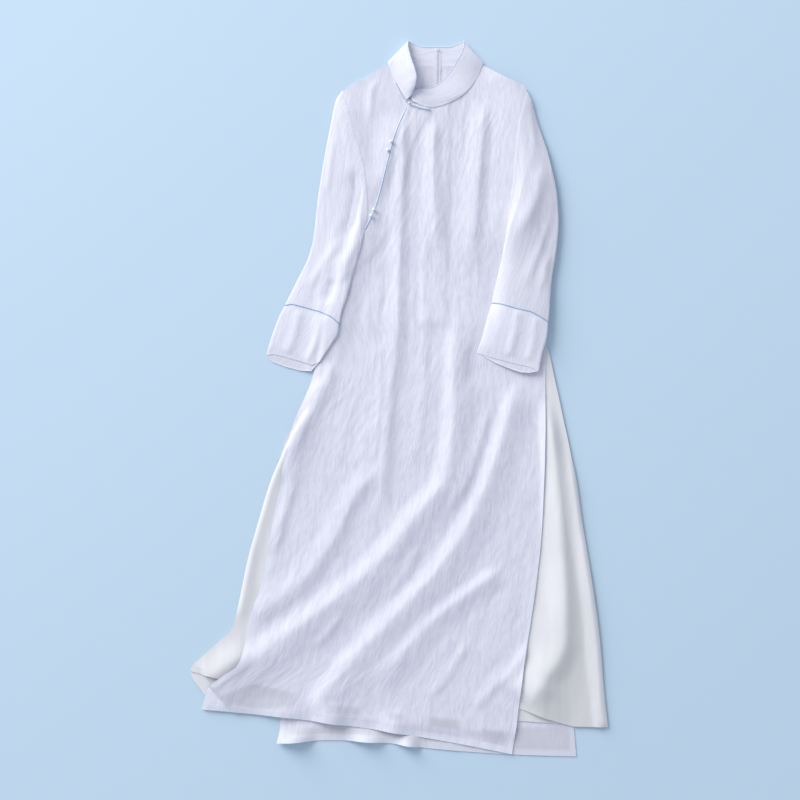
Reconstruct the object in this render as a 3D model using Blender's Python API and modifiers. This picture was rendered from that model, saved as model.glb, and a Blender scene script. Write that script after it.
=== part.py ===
"""A white ankle-length cheongsam, laid flat on its back and seen from above.

Lengths are millimetres in the tables and metres in the meshes. X runs to the right of someone who looks
down at the garment, Y towards its collar, Z up from the surface that it lies on. Left and right are the
looker's. The pieces are the ones that a maker cuts: a front, a shoulder panel that the front buttons over,
two back halves with a zip between them, two sleeves with deep cuffs, a stand collar in two halves, and a
loose skirt lining that shows in the side slits.
"""

import bmesh
import bpy
import numpy as np

MM = 0.001
WALL = 1.0
COLLAR_WALL = 1.4
GAP = 0.3
LAYER = WALL + GAP
FLOOR = WALL / 2

PIPING_RADIUS = 0.9
CORD_RADIUS = 1.2
PEARL_RADIUS = 3.0
KNOT_RADIUS = 2.6
TAPE_WIDTH = 6.0
ZIP_TOP = 627.0
ZIP_END = 152.0
UNDERLAP = 30.0
SEAM_X_AT_NECK = 69.0
SEAM_X_AT_HEM = 49.0
NECK_Y = 598.0
HEM_Y = -629.0
LINING_TOP = 120.0

# Back panel: x and y of its left edge, x and y of its right edge, and y of the same row at the middle seam.
BACK_ROWS = [
    (-101, 552, 229, 554, 598),
    (-88, 501, 218, 501, 540),
    (-79, 447, 212, 447, 478),
    (-79, 384, 212, 384, 408),
    (-88, 330, 221, 330, 345),
    (-110, 289, 243, 289, 292),
    (-124, 213, 256, 213, 213),
    (-139, 141, 263, 141, 141),
    (-146, 87, 265, 96, 90),
    (-157, 33, 269, 33, 33),
    (-187, -39, 274, -39, -39),
    (-212, -107, 279, -107, -107),
    (-212, -273, 289, -273, -273),
    (-212, -435, 301, -435, -435),
    (-214, -588, 315, -597, -592),
    (-220, -620, 319, -644, -629),
]
BACK_TOP_LEFT = [(-101, 552), (-79, 568), (-52, 582), (-16, 601), (10, 599), (69, 598)]
BACK_TOP_RIGHT = [(69, 598), (120, 599), (146, 602), (182, 582), (209, 564), (229, 554)]
# How far a row's middle hangs below the straight line between its ends, at the hem of each half.
BACK_SAG_LEFT = -9.0
BACK_SAG_RIGHT = 3.0

# Front panel: x and y of its left edge, x and y of its right edge, and how far the row's middle hangs down.
# The left edge is first the buttoned opening, then the side seam, then the slit.
FRONT_ROWS = [
    (18, 530, 146, 602, 0),
    (8, 508, 188, 579, 0),
    (-4, 480, 229, 554, 0),
    (-14, 447, 218, 501, 0),
    (-23, 411, 212, 447, 0),
    (-32, 375, 212, 400, 0),
    (-41, 345, 214, 362, 0),
    (-49, 325, 221, 330, 0),
    (-63, 298, 235, 303, 0),
    (-90, 268, 244, 285, 0),
    (-118, 246, 250, 250, 0),
    (-124, 213, 256, 213, 0),
    (-139, 141, 263, 141, 0),
    (-146, 87, 265, 96, 0),
    (-157, 33, 263, 33, 0),
    (-187, -39, 263, -39, 0),
    (-206, -107, 262, -110, 0),
    (-215, -165, 260, -165, 0),
    (-226, -215, 258, -215, 0),
    (-236, -276, 254, -270, 0),
    (-248, -335, 247, -330, 0),
    (-262, -376, 240, -380, 0),
    (-273, -410, 233, -425, -2),
    (-278, -445, 226, -470, -3),
    (-290, -479, 220, -515, -4),
    (-318, -499, 215, -555, -6),
    (-342, -520, 211, -590, -8),
    (-356, -559, 203, -640, -9),
]
FRONT_NECKLINE = [
    (18, 530),
    (40, 531),
    (57, 527),
    (75, 530),
    (93, 538),
    (111, 548),
    (125, 560),
    (134, 574),
    (141, 588),
    (146, 602),
]
OPENING = [(18, 530), (-4, 480), (-14, 447), (-23, 411), (-32, 375), (-41, 345), (-49, 325), (-63, 298)]
OPENING_TO_SIDE = [*OPENING, (-90, 268), (-118, 246)]

# Shoulder panel under the opening: left edge x and y, right edge x and y, sag.
SHOULDER_ROWS = [
    (-101, 552, 38, 530, 0),
    (-88, 501, 19, 486, 0),
    (-79, 447, 8, 450, 0),
    (-79, 384, -5, 404, 0),
    (-88, 330, -15, 362, 0),
    (-110, 289, -26, 331, 0),
    (-110, 264, -42, 299, 0),
    (-106, 250, -76, 258, 0),
]
SHOULDER_TOP = [
    (-101, 552),
    (-79, 568),
    (-52, 582),
    (-16, 601),
    (-9, 588),
    (-3, 575),
    (8, 552),
    (20, 537),
    (38, 530),
]

# Skirt lining: left edge x and y, right edge x and y, sag.
LINING_ROWS = [
    (-127, 120, 250, 120, 0),
    (-132, 80, 269, 84, 0),
    (-141, 40, 279, 40, 0),
    (-157, -3, 289, -5, 0),
    (-175, -39, 296, -39, 0),
    (-199, -75, 304, -75, 0),
    (-214, -109, 311, -110, 0),
    (-230, -147, 319, -147, 0),
    (-252, -219, 329, -219, 0),
    (-272, -291, 341, -291, 0),
    (-287, -363, 352, -363, 0),
    (-299, -411, 359, -415, 0),
    (-322, -435, 363, -455, 0),
    (-352, -462, 367, -507, 0),
]
LINING_FRONT_ENDS = [
    (-368, -478, 371, -550, 0),
    (-376, -490, 376, -591, 0),
]
LINING_BACK_ENDS = [
    (-376, -490, 371, -550, 0),
    (-347, -537, 376, -592, 0),
]
LINING_BACK_HEM = [(-376, -490), (-347, -537), (214, -590), (376, -592)]
LINING_FRONT_HEM = [
    (-376, -490),
    (-268, -519),
    (-97, -543),
    (40, -572),
    (164, -572),
    (216, -557),
    (263, -575),
    (313, -590),
    (376, -591),
]

# Folds. Each row: height, width of the lit side, width of the shaded side, how far the start and the end
# take to rise, and the line of the crest from its upper end to its lower end.
FRONT_FOLDS = [
    (
        8, 50, 45, 70, 60,
        [(0, 330), (0, 177), (-2, -3), (-13, -102), (-59, -183), (-94, -251), (-146, -305), (-247, -384)],
    ),
    (
        11, 60, 48, 70, 1,
        [(110, 204), (103, -3), (99, -84), (61, -161), (-27, -284), (-137, -382), (-268, -471), (-324, -514)],
    ),
    (
        9, 54, 46, 40, 40,
        [(225, 24), (198, -53), (142, -192), (103, -276), (0, -390), (-45, -446), (-140, -543), (-164, -575)],
    ),
    (6, 46, 45, 40, 50, [(175, -287), (128, -348), (74, -395), (22, -440), (-34, -492), (-67, -536)]),
    (4, 30, 26, 50, 60, [(5, 506), (9, 429), (11, 357), (9, 267)]),
    (4, 30, 26, 40, 60, [(58, 494), (59, 429), (56, 357), (52, 249)]),
    (4, 36, 26, 40, 70, [(142, 530), (140, 447), (135, 357), (130, 249), (124, 177)]),
    (5, 36, 32, 40, 60, [(-85, 145), (-97, 87), (-124, 24), (-149, -39), (-178, -129)]),
]
LINING_FOLDS = [
    (
        9, 27, 28, 150, 60,
        [(290, 10), (294, -110), (297, -250), (298, -363), (293, -430), (276, -474), (250, -515)],
    ),
    (6, 34, 34, 30, 1, [(264, -500), (258, -545), (254, -592)]),
    (7, 36, 30, 30, 1, [(-246, -430), (-296, -466), (-352, -505)]),
]
SHOULDER_FOLDS = [
    (3, 18, 14, 30, 50, [(-62, 560), (-48, 480), (-50, 400), (-58, 330)]),
    (3, 16, 12, 30, 40, [(-22, 580), (-16, 510), (-28, 440), (-38, 390)]),
]

# Sleeves and cuffs, by side: the outer edge, the inner edge, the line where the sleeve's upper layer lies
# on the body, the armhole that both body panels end at, the cuff seam, the cuff's two edges and its two
# mouths.
SLEEVES = {
    "left": {
        "sign": -1,
        "outer": [
            (-104, 555),
            (-113, 537),
            (-121, 501),
            (-135, 429),
            (-146, 357),
            (-153, 294),
            (-160, 262),
            (-187, 204),
            (-205, 168),
        ],
        "inner": [(-68, 286), (-70, 271), (-77, 240), (-85, 213), (-94, 181), (-103, 155), (-107, 134)],
        "cap": [(-104, 555), (-85, 492), (-65, 420), (-59, 375), (-58, 339), (-62, 308), (-68, 286)],
        "armhole": [(-101, 552), (-88, 501), (-79, 447), (-79, 384), (-88, 330), (-110, 289)],
        "seam": [(-205, 168), (-193, 170), (-173, 165), (-142, 156), (-122, 147), (-107, 134)],
        "cuff_outer": [(-205, 168), (-215, 148), (-229, 111), (-239, 77)],
        "cuff_inner": [(-107, 134), (-109, 120), (-124, 94), (-143, 66)],
        "mouth_upper": [(-239, 77), (-228, 80), (-205, 75), (-178, 67), (-156, 60), (-143, 66)],
        "mouth_lower": [(-239, 77), (-228, 66), (-205, 57), (-178, 50), (-158, 49), (-143, 66)],
        "folds": [
            (4, 16, 12, 60, 50, [(-88, 501), (-70, 411), (-66, 348), (-74, 285), (-92, 222), (-106, 172)]),
            (4, 14, 26, 40, 50, [(-116, 500), (-126, 411), (-140, 285), (-160, 231), (-180, 182)]),
        ],
    },
    "right": {
        "sign": 1,
        "outer": [
            (232, 557),
            (239, 537),
            (248, 501),
            (270, 429),
            (284, 357),
            (286, 315),
            (281, 258),
            (275, 222),
            (270, 165),
            (268, 137),
        ],
        "inner": [(193, 300), (190, 280), (184, 249), (176, 213), (167, 172)],
        "cap": [(232, 557), (218, 501), (212, 447), (207, 384), (199, 335), (193, 300)],
        "armhole": [(229, 554), (218, 501), (212, 447), (212, 384), (221, 330), (243, 289)],
        "seam": [(268, 137), (254, 146), (236, 156), (209, 162), (182, 170), (167, 172)],
        "cuff_outer": [(268, 137), (265, 112), (256, 78), (250, 49)],
        "cuff_inner": [(167, 172), (159, 145), (151, 114), (140, 82)],
        "mouth_upper": [(250, 49), (234, 57), (218, 60), (191, 67), (164, 74), (140, 82)],
        "mouth_lower": [(250, 49), (234, 46), (218, 47), (200, 53), (173, 64), (140, 82)],
        "folds": [
            (5, 26, 16, 50, 60, [(250, 430), (250, 375), (234, 345), (214, 315), (198, 262), (186, 210)]),
        ],
    },
}
SEAM_HALF = PIPING_RADIUS + 3 * GAP
EDGE_FOLD = 2.4
SIDE_MARGIN = 7.0
SIDE_RAMP = 14.0
SLEEVE_CLEARANCE = 1.2
ARMHOLE_GAPS = [1.5, 1.5, 1.5, 2.0, 4.0, 5.0]
TUBE_CELLS = 10
UNDERARM_CELLS = 2
BESIDE_ARMHOLE = 8.0
UNDERARM_END = 266.0

# Collar halves, from the middle of the back round to the front end: seam x, y, z and upper edge x, y, z.
COLLAR_ROWS = {
    "left": [
        (68.7, 599.3, 0.7, 68.7, 631, 0.7),
        (46, 599.3, 0.7, 46, 631, 0.7),
        (22, 600.8, 0.7, 33, 634, 1.0),
        (2, 602.5, 0.7, 24, 637.5, 2.4),
        (-12, 605, 0.9, 18, 640, 4.6),
        (-19, 605.5, 2.3, 15.5, 640, 7.5),
        (-20, 602, 3.7, 15, 634, 11),
        (-17, 595, 3.8, 17.5, 621, 14.5),
        (-12, 584, 3.8, 22, 605, 18),
        (-7, 573, 3.8, 27, 590, 20.5),
        (-1, 561, 3.8, 30, 576, 21),
        (5, 550, 3.8, 28, 562, 18),
        (10, 542, 3.9, 23.5, 550, 12),
        (13.5, 537.5, 4.1, 19, 542, 8),
    ],
    "right": [
        (69.3, 599.3, 0.7, 69.3, 631, 0.7),
        (90, 599.3, 0.7, 90, 631, 0.7),
        (112, 600.8, 0.7, 101, 634, 1.0),
        (132, 603, 0.7, 110, 638, 2.4),
        (143, 606, 0.9, 115.5, 640.5, 4.6),
        (149.5, 606, 2.4, 118, 640, 7),
        (150.5, 602.5, 3.7, 117.5, 633, 9.5),
        (148, 595, 3.8, 114, 621, 11),
        (143, 583, 3.8, 107, 609, 12),
        (136, 570, 3.8, 100, 597, 13),
        (126, 557, 3.8, 92, 585, 14),
        (113, 545, 3.8, 82, 573, 16),
        (95, 534.5, 3.8, 69, 562.5, 20),
        (75, 526.5, 3.8, 56, 557, 22),
        (57, 523.5, 4.5, 43.5, 556, 22),
        (42, 526.5, 5.1, 35, 556, 20),
        (33, 530.5, 5.2, 30, 549, 13),
        (28, 533.5, 5.3, 27.5, 541.5, 9),
    ],
}

# Fastenings: x, y of each pearl, and the lines of the two cord legs beside the collar knot.
PEARLS = [(-14, 461), (-20, 446), (-45, 339), (-50, 328)]
KNOT = (18.5, 530.5)
LEG_LEFT = [(13, 534.5), (4, 546.5), (-6.5, 568)]
LEG_RIGHT = [(23.8, 527.8), (38, 523), (55, 519.5)]

# Colour, roughness of each cloth or part.
FINISHES = {
    "outer_cloth": ((0.86, 0.87, 0.93, 1.0), 0.75),
    "lining_satin": ((0.86, 0.86, 0.84, 1.0), 0.40),
    "piping": ((0.55, 0.68, 0.82, 1.0), 0.50),
    "zip_tape": ((0.88, 0.88, 0.88, 1.0), 0.70),
    "pearl": ((0.92, 0.93, 0.92, 1.0), 0.20),
}


def smooth(t):
    """Eases from 0 to 1."""
    t = np.clip(t, 0.0, 1.0)
    return t * t * (3 - 2 * t)


def even_line(points, count):
    """Points spread evenly along the straight runs between the given points."""
    points = np.array(points, float)
    run = np.linalg.norm(np.diff(points, axis=0), axis=1)
    along = np.concatenate([[0.0], np.cumsum(run)])
    at = np.linspace(0.0, along[-1], count)
    return np.stack([np.interp(at, along, column) for column in points.T], axis=1)


def curve_through(points, steps):
    """A smooth line through every given point, with so many steps from each point to the next. It never
    swings past a point, so that corners keep their places."""
    points = np.array(points, float)
    run = np.linalg.norm(np.diff(points, axis=0), axis=1)[:, None]
    rate = np.diff(points, axis=0) / run
    before, after = rate[:-1], rate[1:]
    same_way = before * after > 0
    middle = np.where(same_way, 2 * before * after / np.where(same_way, before + after, 1.0), 0.0)
    slopes = np.concatenate([rate[:1], middle, rate[-1:]])
    line = [points[:1]]
    for i, count in enumerate(steps):
        t = (np.arange(1, count + 1) / count)[:, None]
        m, n = slopes[i] * run[i], slopes[i + 1] * run[i]
        stretch = (2 * t**3 - 3 * t**2 + 1) * points[i] + (t**3 - 2 * t**2 + t) * m
        line.append(stretch + (3 * t**2 - 2 * t**3) * points[i + 1] + (t**3 - t**2) * n)
    return np.concatenate(line)


def smooth_line(points, count):
    """Points spread evenly along a smooth line through the given points, in any number of columns."""
    return even_line(curve_through(points, [12] * (len(points) - 1)), count)


def nearest(x, y, line):
    """Distance from a line, with + on the right of someone walking down it, and the length walked."""
    best = np.full(np.shape(x), np.inf)
    signed = np.zeros(np.shape(x))
    walked = np.zeros(np.shape(x))
    start = 0.0
    for (ax, ay), (bx, by) in zip(line[:-1], line[1:]):
        dx, dy = bx - ax, by - ay
        length = np.hypot(dx, dy)
        t = np.clip(((x - ax) * dx + (y - ay) * dy) / length**2, 0.0, 1.0)
        ox, oy = x - ax - t * dx, y - ay - t * dy
        away = np.hypot(ox, oy)
        closer = away < best
        best = np.where(closer, away, best)
        signed = np.where(closer, np.where(-ox * dy + oy * dx < 0, -away, away), signed)
        walked = np.where(closer, start + t * length, walked)
        start += length
    return signed, walked, start


def relief(x, y, folds):
    """Height that a table of folds adds."""
    height = np.zeros(np.shape(x))
    for crest, lit, shaded, rise, fall, path in folds:
        line = smooth_line(path, 24)
        away, walked, whole = nearest(x, y, line)
        width = np.where(away < 0, lit, shaded)
        side = np.cos(np.clip(np.abs(away) / width, 0.0, 1.0) * np.pi / 2) ** 2
        height = height + crest * side * smooth(walked / rise) * smooth((whole - walked) / fall)
    return height


def at_height(y, edge):
    """The x of an edge, a list of (x, y) from top to bottom, at each height y."""
    edge = np.array(edge, float)[::-1]
    return np.interp(y, edge[:, 1], edge[:, 0])


def over_lining(x, y):
    """1 where a layer lies on the skirt lining, easing to 0 above its top and below its hem."""
    hem = np.interp(x, [row[0] for row in LINING_BACK_HEM], [row[1] for row in LINING_BACK_HEM])
    return smooth(1 - (y - LINING_TOP - 24) / 24) * smooth(1 - (hem - 8 - y) / 24)


def over_underlap(x, y):
    """1 where the front lies on the shoulder panel beside the opening."""
    away, _, _ = nearest(x, y, smooth_line(OPENING_TO_SIDE, 24))
    return smooth(1 - (np.abs(away) - UNDERLAP) / 14)


def seam_x(y):
    """The x of the back's middle seam."""
    return SEAM_X_AT_HEM + (SEAM_X_AT_NECK - SEAM_X_AT_HEM) * (y - HEM_Y) / (NECK_Y - HEM_Y)


def over_zip(x, y):
    """1 where the front lies on the zip's tapes."""
    across = smooth(1 - (np.abs(x - seam_x(y)) - TAPE_WIDTH - 10) / 14)
    return across * smooth(1 - (ZIP_END - 10 - y) / 20)


def under_sleeves(x, y):
    """1 where a sleeve or a cuff covers the front, so that the front lies plain there."""
    a, b = SLEEVES["left"], SLEEVES["right"]
    left = at_height(y, [*a["cap"][3:-1], *a["inner"], *a["cuff_inner"][1:]])
    right = at_height(y, [*b["cap"][2:-1], *b["inner"], *b["cuff_inner"][1:]])
    covered = np.maximum(smooth((left + 22 - x) / 18), smooth((x - right + 26) / 22))
    return covered * smooth((y - 18) / 30)


def lining_height(x, y):
    """Middle of the front lining's wall."""
    return FLOOR + 2 * LAYER + relief(x, y, LINING_FOLDS)


def front_height(x, y):
    """Middle of the front's wall."""
    on_lining = over_lining(x, y)
    swell = relief(x, y, LINING_FOLDS)
    base = FLOOR + LAYER + 2 * LAYER * on_lining + LAYER * over_underlap(x, y) + LAYER * over_zip(x, y)
    base = base + on_lining * (1.2 * swell + 1.2 * smooth(swell / 1.5))
    curl = smooth(1 - (x - at_height(y, [row[0:2] for row in BACK_ROWS])) / 12)
    curl = curl * smooth((y + 20) / 30) * on_lining * (1 - over_underlap(x, y))
    return base - 2 * LAYER * curl + relief(x, y, FRONT_FOLDS) * (1 - under_sleeves(x, y))


def shoulder_height(x, y):
    """Middle of the shoulder panel's wall: flat under the front's edge, the collar and the sleeve."""
    away, _, _ = nearest(x, y, smooth_line(OPENING_TO_SIDE, 24))
    left = at_height(y, SLEEVES["left"]["cap"])
    clear = smooth((np.abs(away) - 8) / 16) * smooth((x - left - 4) / 14)
    neck, _, _ = nearest(x, y, np.array(SHOULDER_TOP, float))
    clear = clear * smooth((np.abs(neck) - 10) / 14)
    return FLOOR + LAYER + relief(x, y, SHOULDER_FOLDS) * clear


def steps_for(rows, cell):
    """How many cells fit between each row and the next, none longer than the given length."""
    run = np.linalg.norm(np.diff(np.array(rows, float)[:, :4], axis=0), axis=1) / np.sqrt(2)
    return np.maximum(np.ceil(run / cell), 1).astype(int)


def panel(rows, across, steps, top=None, top_reach=150.0, bottom=None, bottom_reach=90.0, edge_cells=0.0):
    """Plan of a panel, [down, across, x and y], through its rows of left and right ends. With a share of
    edge cells, the columns are closer together at both edges."""
    lines = curve_through(rows, steps)
    even = np.linspace(0.0, 1.0, across + 1)
    u = (1 - edge_cells) * even + edge_cells * (1 - np.cos(np.pi * even)) / 2
    u = u[None, :, None]
    plan = lines[:, None, 0:2] * (1 - u) + lines[:, None, 2:4] * u
    plan[..., 1:2] = plan[..., 1:2] - 4 * lines[:, None, 4:5] * u * (1 - u)
    middle = plan[:, across // 2]
    walked = np.concatenate([[0.0], np.cumsum(np.linalg.norm(np.diff(middle, axis=0), axis=1))])
    hems = [(top, walked, top_reach, 0), (bottom, walked[-1] - walked, bottom_reach, -1)]
    for line, from_end, reach, row in hems:
        if line is not None:
            fine = even_line(line, 400)
            share = np.linspace(0.0, 1.0, 400)
            wanted = np.stack([np.interp(u[0, :, 0], share, fine[:, k]) for k in (0, 1)], axis=1)
            plan = plan + smooth(1 - from_end / reach)[:, None, None] * (wanted - plan[row])[None]
    return plan


def raised(plan, height):
    """A plan with its heights, [down, across, 3]."""
    z = height(plan[..., 0], plan[..., 1])
    return np.concatenate([plan, z[..., None]], axis=2)


def edge_shares():
    """Shares of the way across a flattened tube, closer together at both edges."""
    angle = np.linspace(0.0, np.pi, TUBE_CELLS + 1)
    return 0.35 * angle / np.pi + 0.65 * (1 - np.cos(angle)) / 2


def across_line(line):
    """Points across a flattened tube, along a line."""
    fine = even_line(line, 200)
    share = np.linspace(0.0, 1.0, 200)
    return np.stack([np.interp(edge_shares(), share, fine[:, k]) for k in (0, 1)], axis=1)


def patch(start, end, first, last, down):
    """A plan between four lines: start and end are points across, first and last run down."""
    s = np.linspace(0.0, 1.0, down + 1)[:, None, None]
    t = edge_shares()[None, :, None]
    begin, finish = start[None], end[None]
    left = smooth_line(first, down + 1)[:, None]
    right = smooth_line(last, down + 1)[:, None]
    corners = (1 - s) * ((1 - t) * begin[:, :1] + t * begin[:, -1:])
    corners = corners + s * ((1 - t) * finish[:, :1] + t * finish[:, -1:])
    return (1 - s) * begin + s * finish + (1 - t) * left + t * right - corners


def shifted(line, by, towards):
    """A line moved by so many millimetres towards a point."""
    line = np.array(line, float)
    way = np.array(towards, float) - line
    return line + by * way / np.linalg.norm(way, axis=1)[:, None]


def body_share(x, y, side, also_armhole):
    """1 where a sleeve lies on the body, easing to 0 on the floor beside it."""
    data = SLEEVES[side]
    column = 0 if side == "left" else 2
    edge = [row[column : column + 2] for row in BACK_ROWS]
    inside = data["sign"] * (x - at_height(y, edge)) < 0
    seam = edge if also_armhole else edge[5:]
    away, _, _ = nearest(x, y, np.array(seam, float))
    return np.where(inside, 1.0, smooth(1 - (np.abs(away) - SIDE_MARGIN) / SIDE_RAMP))


def under_layer(x, y, side):
    """Middle of a sleeve's lower layer."""
    share = body_share(x, y, side, False)
    return FLOOR + (front_height(x, y) + LAYER + SLEEVE_CLEARANCE - FLOOR) * share


def upper_layer(x, y, side, puff, rest):
    """Middle of a sleeve's upper layer. Where rest is 1 it is sewn down on the body."""
    share = body_share(x, y, side, True)
    lying = FLOOR + (front_height(x, y) + LAYER + SLEEVE_CLEARANCE - FLOOR) * share
    sewn = front_height(x, y) + LAYER + GAP
    free = lying + EDGE_FOLD + puff
    return free * (1 - rest) + sewn * rest


def sleeve_layers(side, start_upper, start_lower, end_upper, end_lower, outer, inner, down, stations):
    """The two layers of a stretch of sleeve, which share their edges. Stations run 0 at the armhole, 1 at
    the cuff's seam and 2 at its mouth, and set how far the layers puff apart."""
    data = SLEEVES[side]
    t = np.linspace(0.0, 1.0, TUBE_CELLS + 1)
    station = np.linspace(stations[0], stations[1], down + 1)[:, None]
    rest = np.clip(1 - station / 0.06, 0.0, 1.0) * np.ones(TUBE_CELLS + 1)
    puff = np.interp(station, [0, 0.2, 1, 1.5, 2], [0.0, 3.5, 3.0, 4.0, 5.5]) * np.sin(np.pi * t) ** 0.7
    layers = []
    for start, end, is_upper in ((start_upper, end_upper, True), (start_lower, end_lower, False)):
        plan = patch(start, end, outer, inner, down)
        x, y = plan[..., 0], plan[..., 1]
        if is_upper:
            z = upper_layer(x, y, side, puff, rest) + relief(x, y, data["folds"]) * smooth(station / 0.1)
        else:
            beside = at_height(y, data["armhole"]) + data["sign"] * BESIDE_ARMHOLE
            push = (data["sign"] * (beside - x) > 0) & (y > UNDERARM_END) & (station > 0)
            push[:, TUBE_CELLS - UNDERARM_CELLS + 1 :] = False
            plan[..., 0] = x = np.where(push & (stations[0] < 1), beside, x)
            z = under_layer(x, y, side)
        layers.append(np.concatenate([plan, z[..., None]], axis=2))
    upper, lower = layers
    for column in (0, -1):
        lower[:, column, :2] = upper[:, column, :2]
        z = under_layer(upper[:, column, 0], upper[:, column, 1], side)
        upper[:, column, 2] = lower[:, column, 2] = z + EDGE_FOLD / 2
    return upper, lower


def around(upper, lower):
    """One closed ring for each row of two layers: over the top, then back underneath."""
    return np.concatenate([upper, lower[:, -2::-1]], axis=1)


def finish(name):
    """A material of a plain colour and roughness."""
    colour, roughness = FINISHES[name]
    material = bpy.data.materials.get(name) or bpy.data.materials.new(name)
    material.use_nodes = True
    shader = material.node_tree.nodes["Principled BSDF"]
    shader.inputs["Base Color"].default_value = colour
    shader.inputs["Roughness"].default_value = roughness
    shader.inputs["Metallic"].default_value = 0.0
    return material


def add_object(name, data, material):
    """A named object in the garment's collection."""
    data.materials.append(finish(material))
    piece = bpy.data.objects.new(name, data)
    GARMENT.objects.link(piece)
    return piece


def cloth(name, surface, material, wall=WALL, closed=False):
    """A wall of cloth on both sides of a grid of points, [down, across, 3] in millimetres. A closed grid's
    last column meets its first."""
    down, across = surface.shape[0] - 1, surface.shape[1] - 1
    grid = bmesh.new()
    bmesh.ops.create_grid(grid, x_segments=across, y_segments=down, size=0.5)
    for vertex in grid.verts:
        column = round((vertex.co.x + 0.5) * across)
        row = round((vertex.co.y + 0.5) * down)
        vertex.co = surface[row, column] * MM
    if closed:
        bmesh.ops.remove_doubles(grid, verts=grid.verts, dist=1e-6)
    mesh = bpy.data.meshes.new(name)
    grid.to_mesh(mesh)
    grid.free()
    mesh.shade_smooth()
    piece = add_object(name, mesh, material)
    solid = piece.modifiers.new("wall", "SOLIDIFY")
    solid.thickness = wall * MM
    solid.offset = 0.0
    solid.use_quality_normals = True
    return piece


def cord(name, line, radius, material, closed=False):
    """A round cord along a line of points in millimetres."""
    curve = bpy.data.curves.new(name, "CURVE")
    curve.dimensions = "3D"
    curve.bevel_depth = radius * MM
    curve.bevel_resolution = 1
    curve.use_fill_caps = not closed
    spline = curve.splines.new("POLY")
    spline.points.add(len(line) - 1)
    for point, (x, y, z) in zip(spline.points, line):
        point.co = (x * MM, y * MM, z * MM, 1.0)
    spline.use_cyclic_u = closed
    return add_object(name, curve, material)


def ball(name, centre, radius, material):
    """A small round bead."""
    mesh = bpy.data.meshes.new(name)
    sphere = bmesh.new()
    bmesh.ops.create_uvsphere(sphere, u_segments=10, v_segments=6, radius=radius * MM)
    sphere.to_mesh(mesh)
    sphere.free()
    mesh.shade_smooth()
    piece = add_object(name, mesh, material)
    piece.location = [value * MM for value in centre]
    return piece


def make_back():
    """Two halves, flat on the floor, parted by the middle seam."""
    half_gap = GAP / 2
    left_rows = [(lx, ly, seam_x(y) - half_gap, y, 0) for lx, ly, _, _, y in BACK_ROWS]
    right_rows = [(seam_x(y) + half_gap, y, rx, ry, 0) for _, _, rx, ry, y in BACK_ROWS]
    left_rows[-1] = (*left_rows[-1][:4], BACK_SAG_LEFT)
    right_rows[-1] = (*right_rows[-1][:4], BACK_SAG_RIGHT)
    top_left = [*BACK_TOP_LEFT[:-1], (SEAM_X_AT_NECK - half_gap, NECK_Y)]
    top_right = [(SEAM_X_AT_NECK + half_gap, NECK_Y), *BACK_TOP_RIGHT[1:]]
    for name, rows, top in (("back_left", left_rows, top_left), ("back_right", right_rows, top_right)):
        plan = panel(rows, 4, steps_for(rows, 80), top, 170)
        cloth(name, raised(plan, lambda x, y: np.full(np.shape(x), FLOOR)), "outer_cloth")


def make_lining():
    """The loose skirt lining, front and back, open at its hem."""
    rows = [*LINING_ROWS, *LINING_BACK_ENDS]
    back = panel(rows, 6, steps_for(rows, 80))
    cloth("lining_back", raised(back, lambda x, y: np.full(np.shape(x), FLOOR + LAYER)), "lining_satin")

    rows = [*LINING_ROWS, *LINING_FRONT_ENDS]
    edge = [row[2:4] for row in FRONT_ROWS[13:]]
    covered, open_strip = [], []
    for lx, ly, rx, ry, _ in rows:
        x, y = min(at_height(ry, edge) + 4, rx - 6), ry
        covered.append((lx, ly, x, y, 0))
        open_strip.append((x, y, rx, ry, 0))
    steps = steps_for(rows, 50)
    hem = np.array(LINING_FRONT_HEM, float)
    split = open_strip[-1][0]
    meeting = (split, np.interp(split, hem[:, 0], hem[:, 1]))
    covered_hem = [*hem[hem[:, 0] < split], meeting]
    open_hem = [meeting, *hem[hem[:, 0] > split]]
    left = panel(covered, 14, steps, bottom=covered_hem, bottom_reach=110, edge_cells=0.3)
    right = panel(open_strip, 7, steps, bottom=open_hem, bottom_reach=110)
    front = np.concatenate([left, right[:, 1:]], axis=1)
    cloth("lining_front", raised(front, lining_height), "lining_satin")


def make_front():
    """The front, whose left edge buttons over the shoulder panel."""
    shoulder = panel(SHOULDER_ROWS, 9, steps_for(SHOULDER_ROWS, 36), SHOULDER_TOP, 150)
    cloth("shoulder_panel", raised(shoulder, shoulder_height), "outer_cloth")
    front = panel(FRONT_ROWS, 24, steps_for(FRONT_ROWS, 38), FRONT_NECKLINE, 150, edge_cells=0.35)
    cloth("front", raised(front, front_height), "outer_cloth")


def make_zip():
    """The two tapes that lie on the inside of the back on each side of the middle seam."""
    half_gap = GAP / 2
    for side, name in ((-1, "zip_tape_left"), (1, "zip_tape_right")):
        inner = [(seam_x(y) + side * half_gap, y) for y in (ZIP_TOP, ZIP_END)]
        outer = [(x + side * TAPE_WIDTH, y) for x, y in inner]
        near, far = np.array(inner), np.array(outer)
        plan = np.stack([even_line(near, 13), even_line(far, 13)], axis=1)

        def height(x, y):
            on_collar = smooth((y - NECK_Y + 30) / 24)
            return FLOOR + LAYER + (COLLAR_WALL - WALL) * on_collar

        cloth(name, raised(plan, height), "zip_tape")


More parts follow.
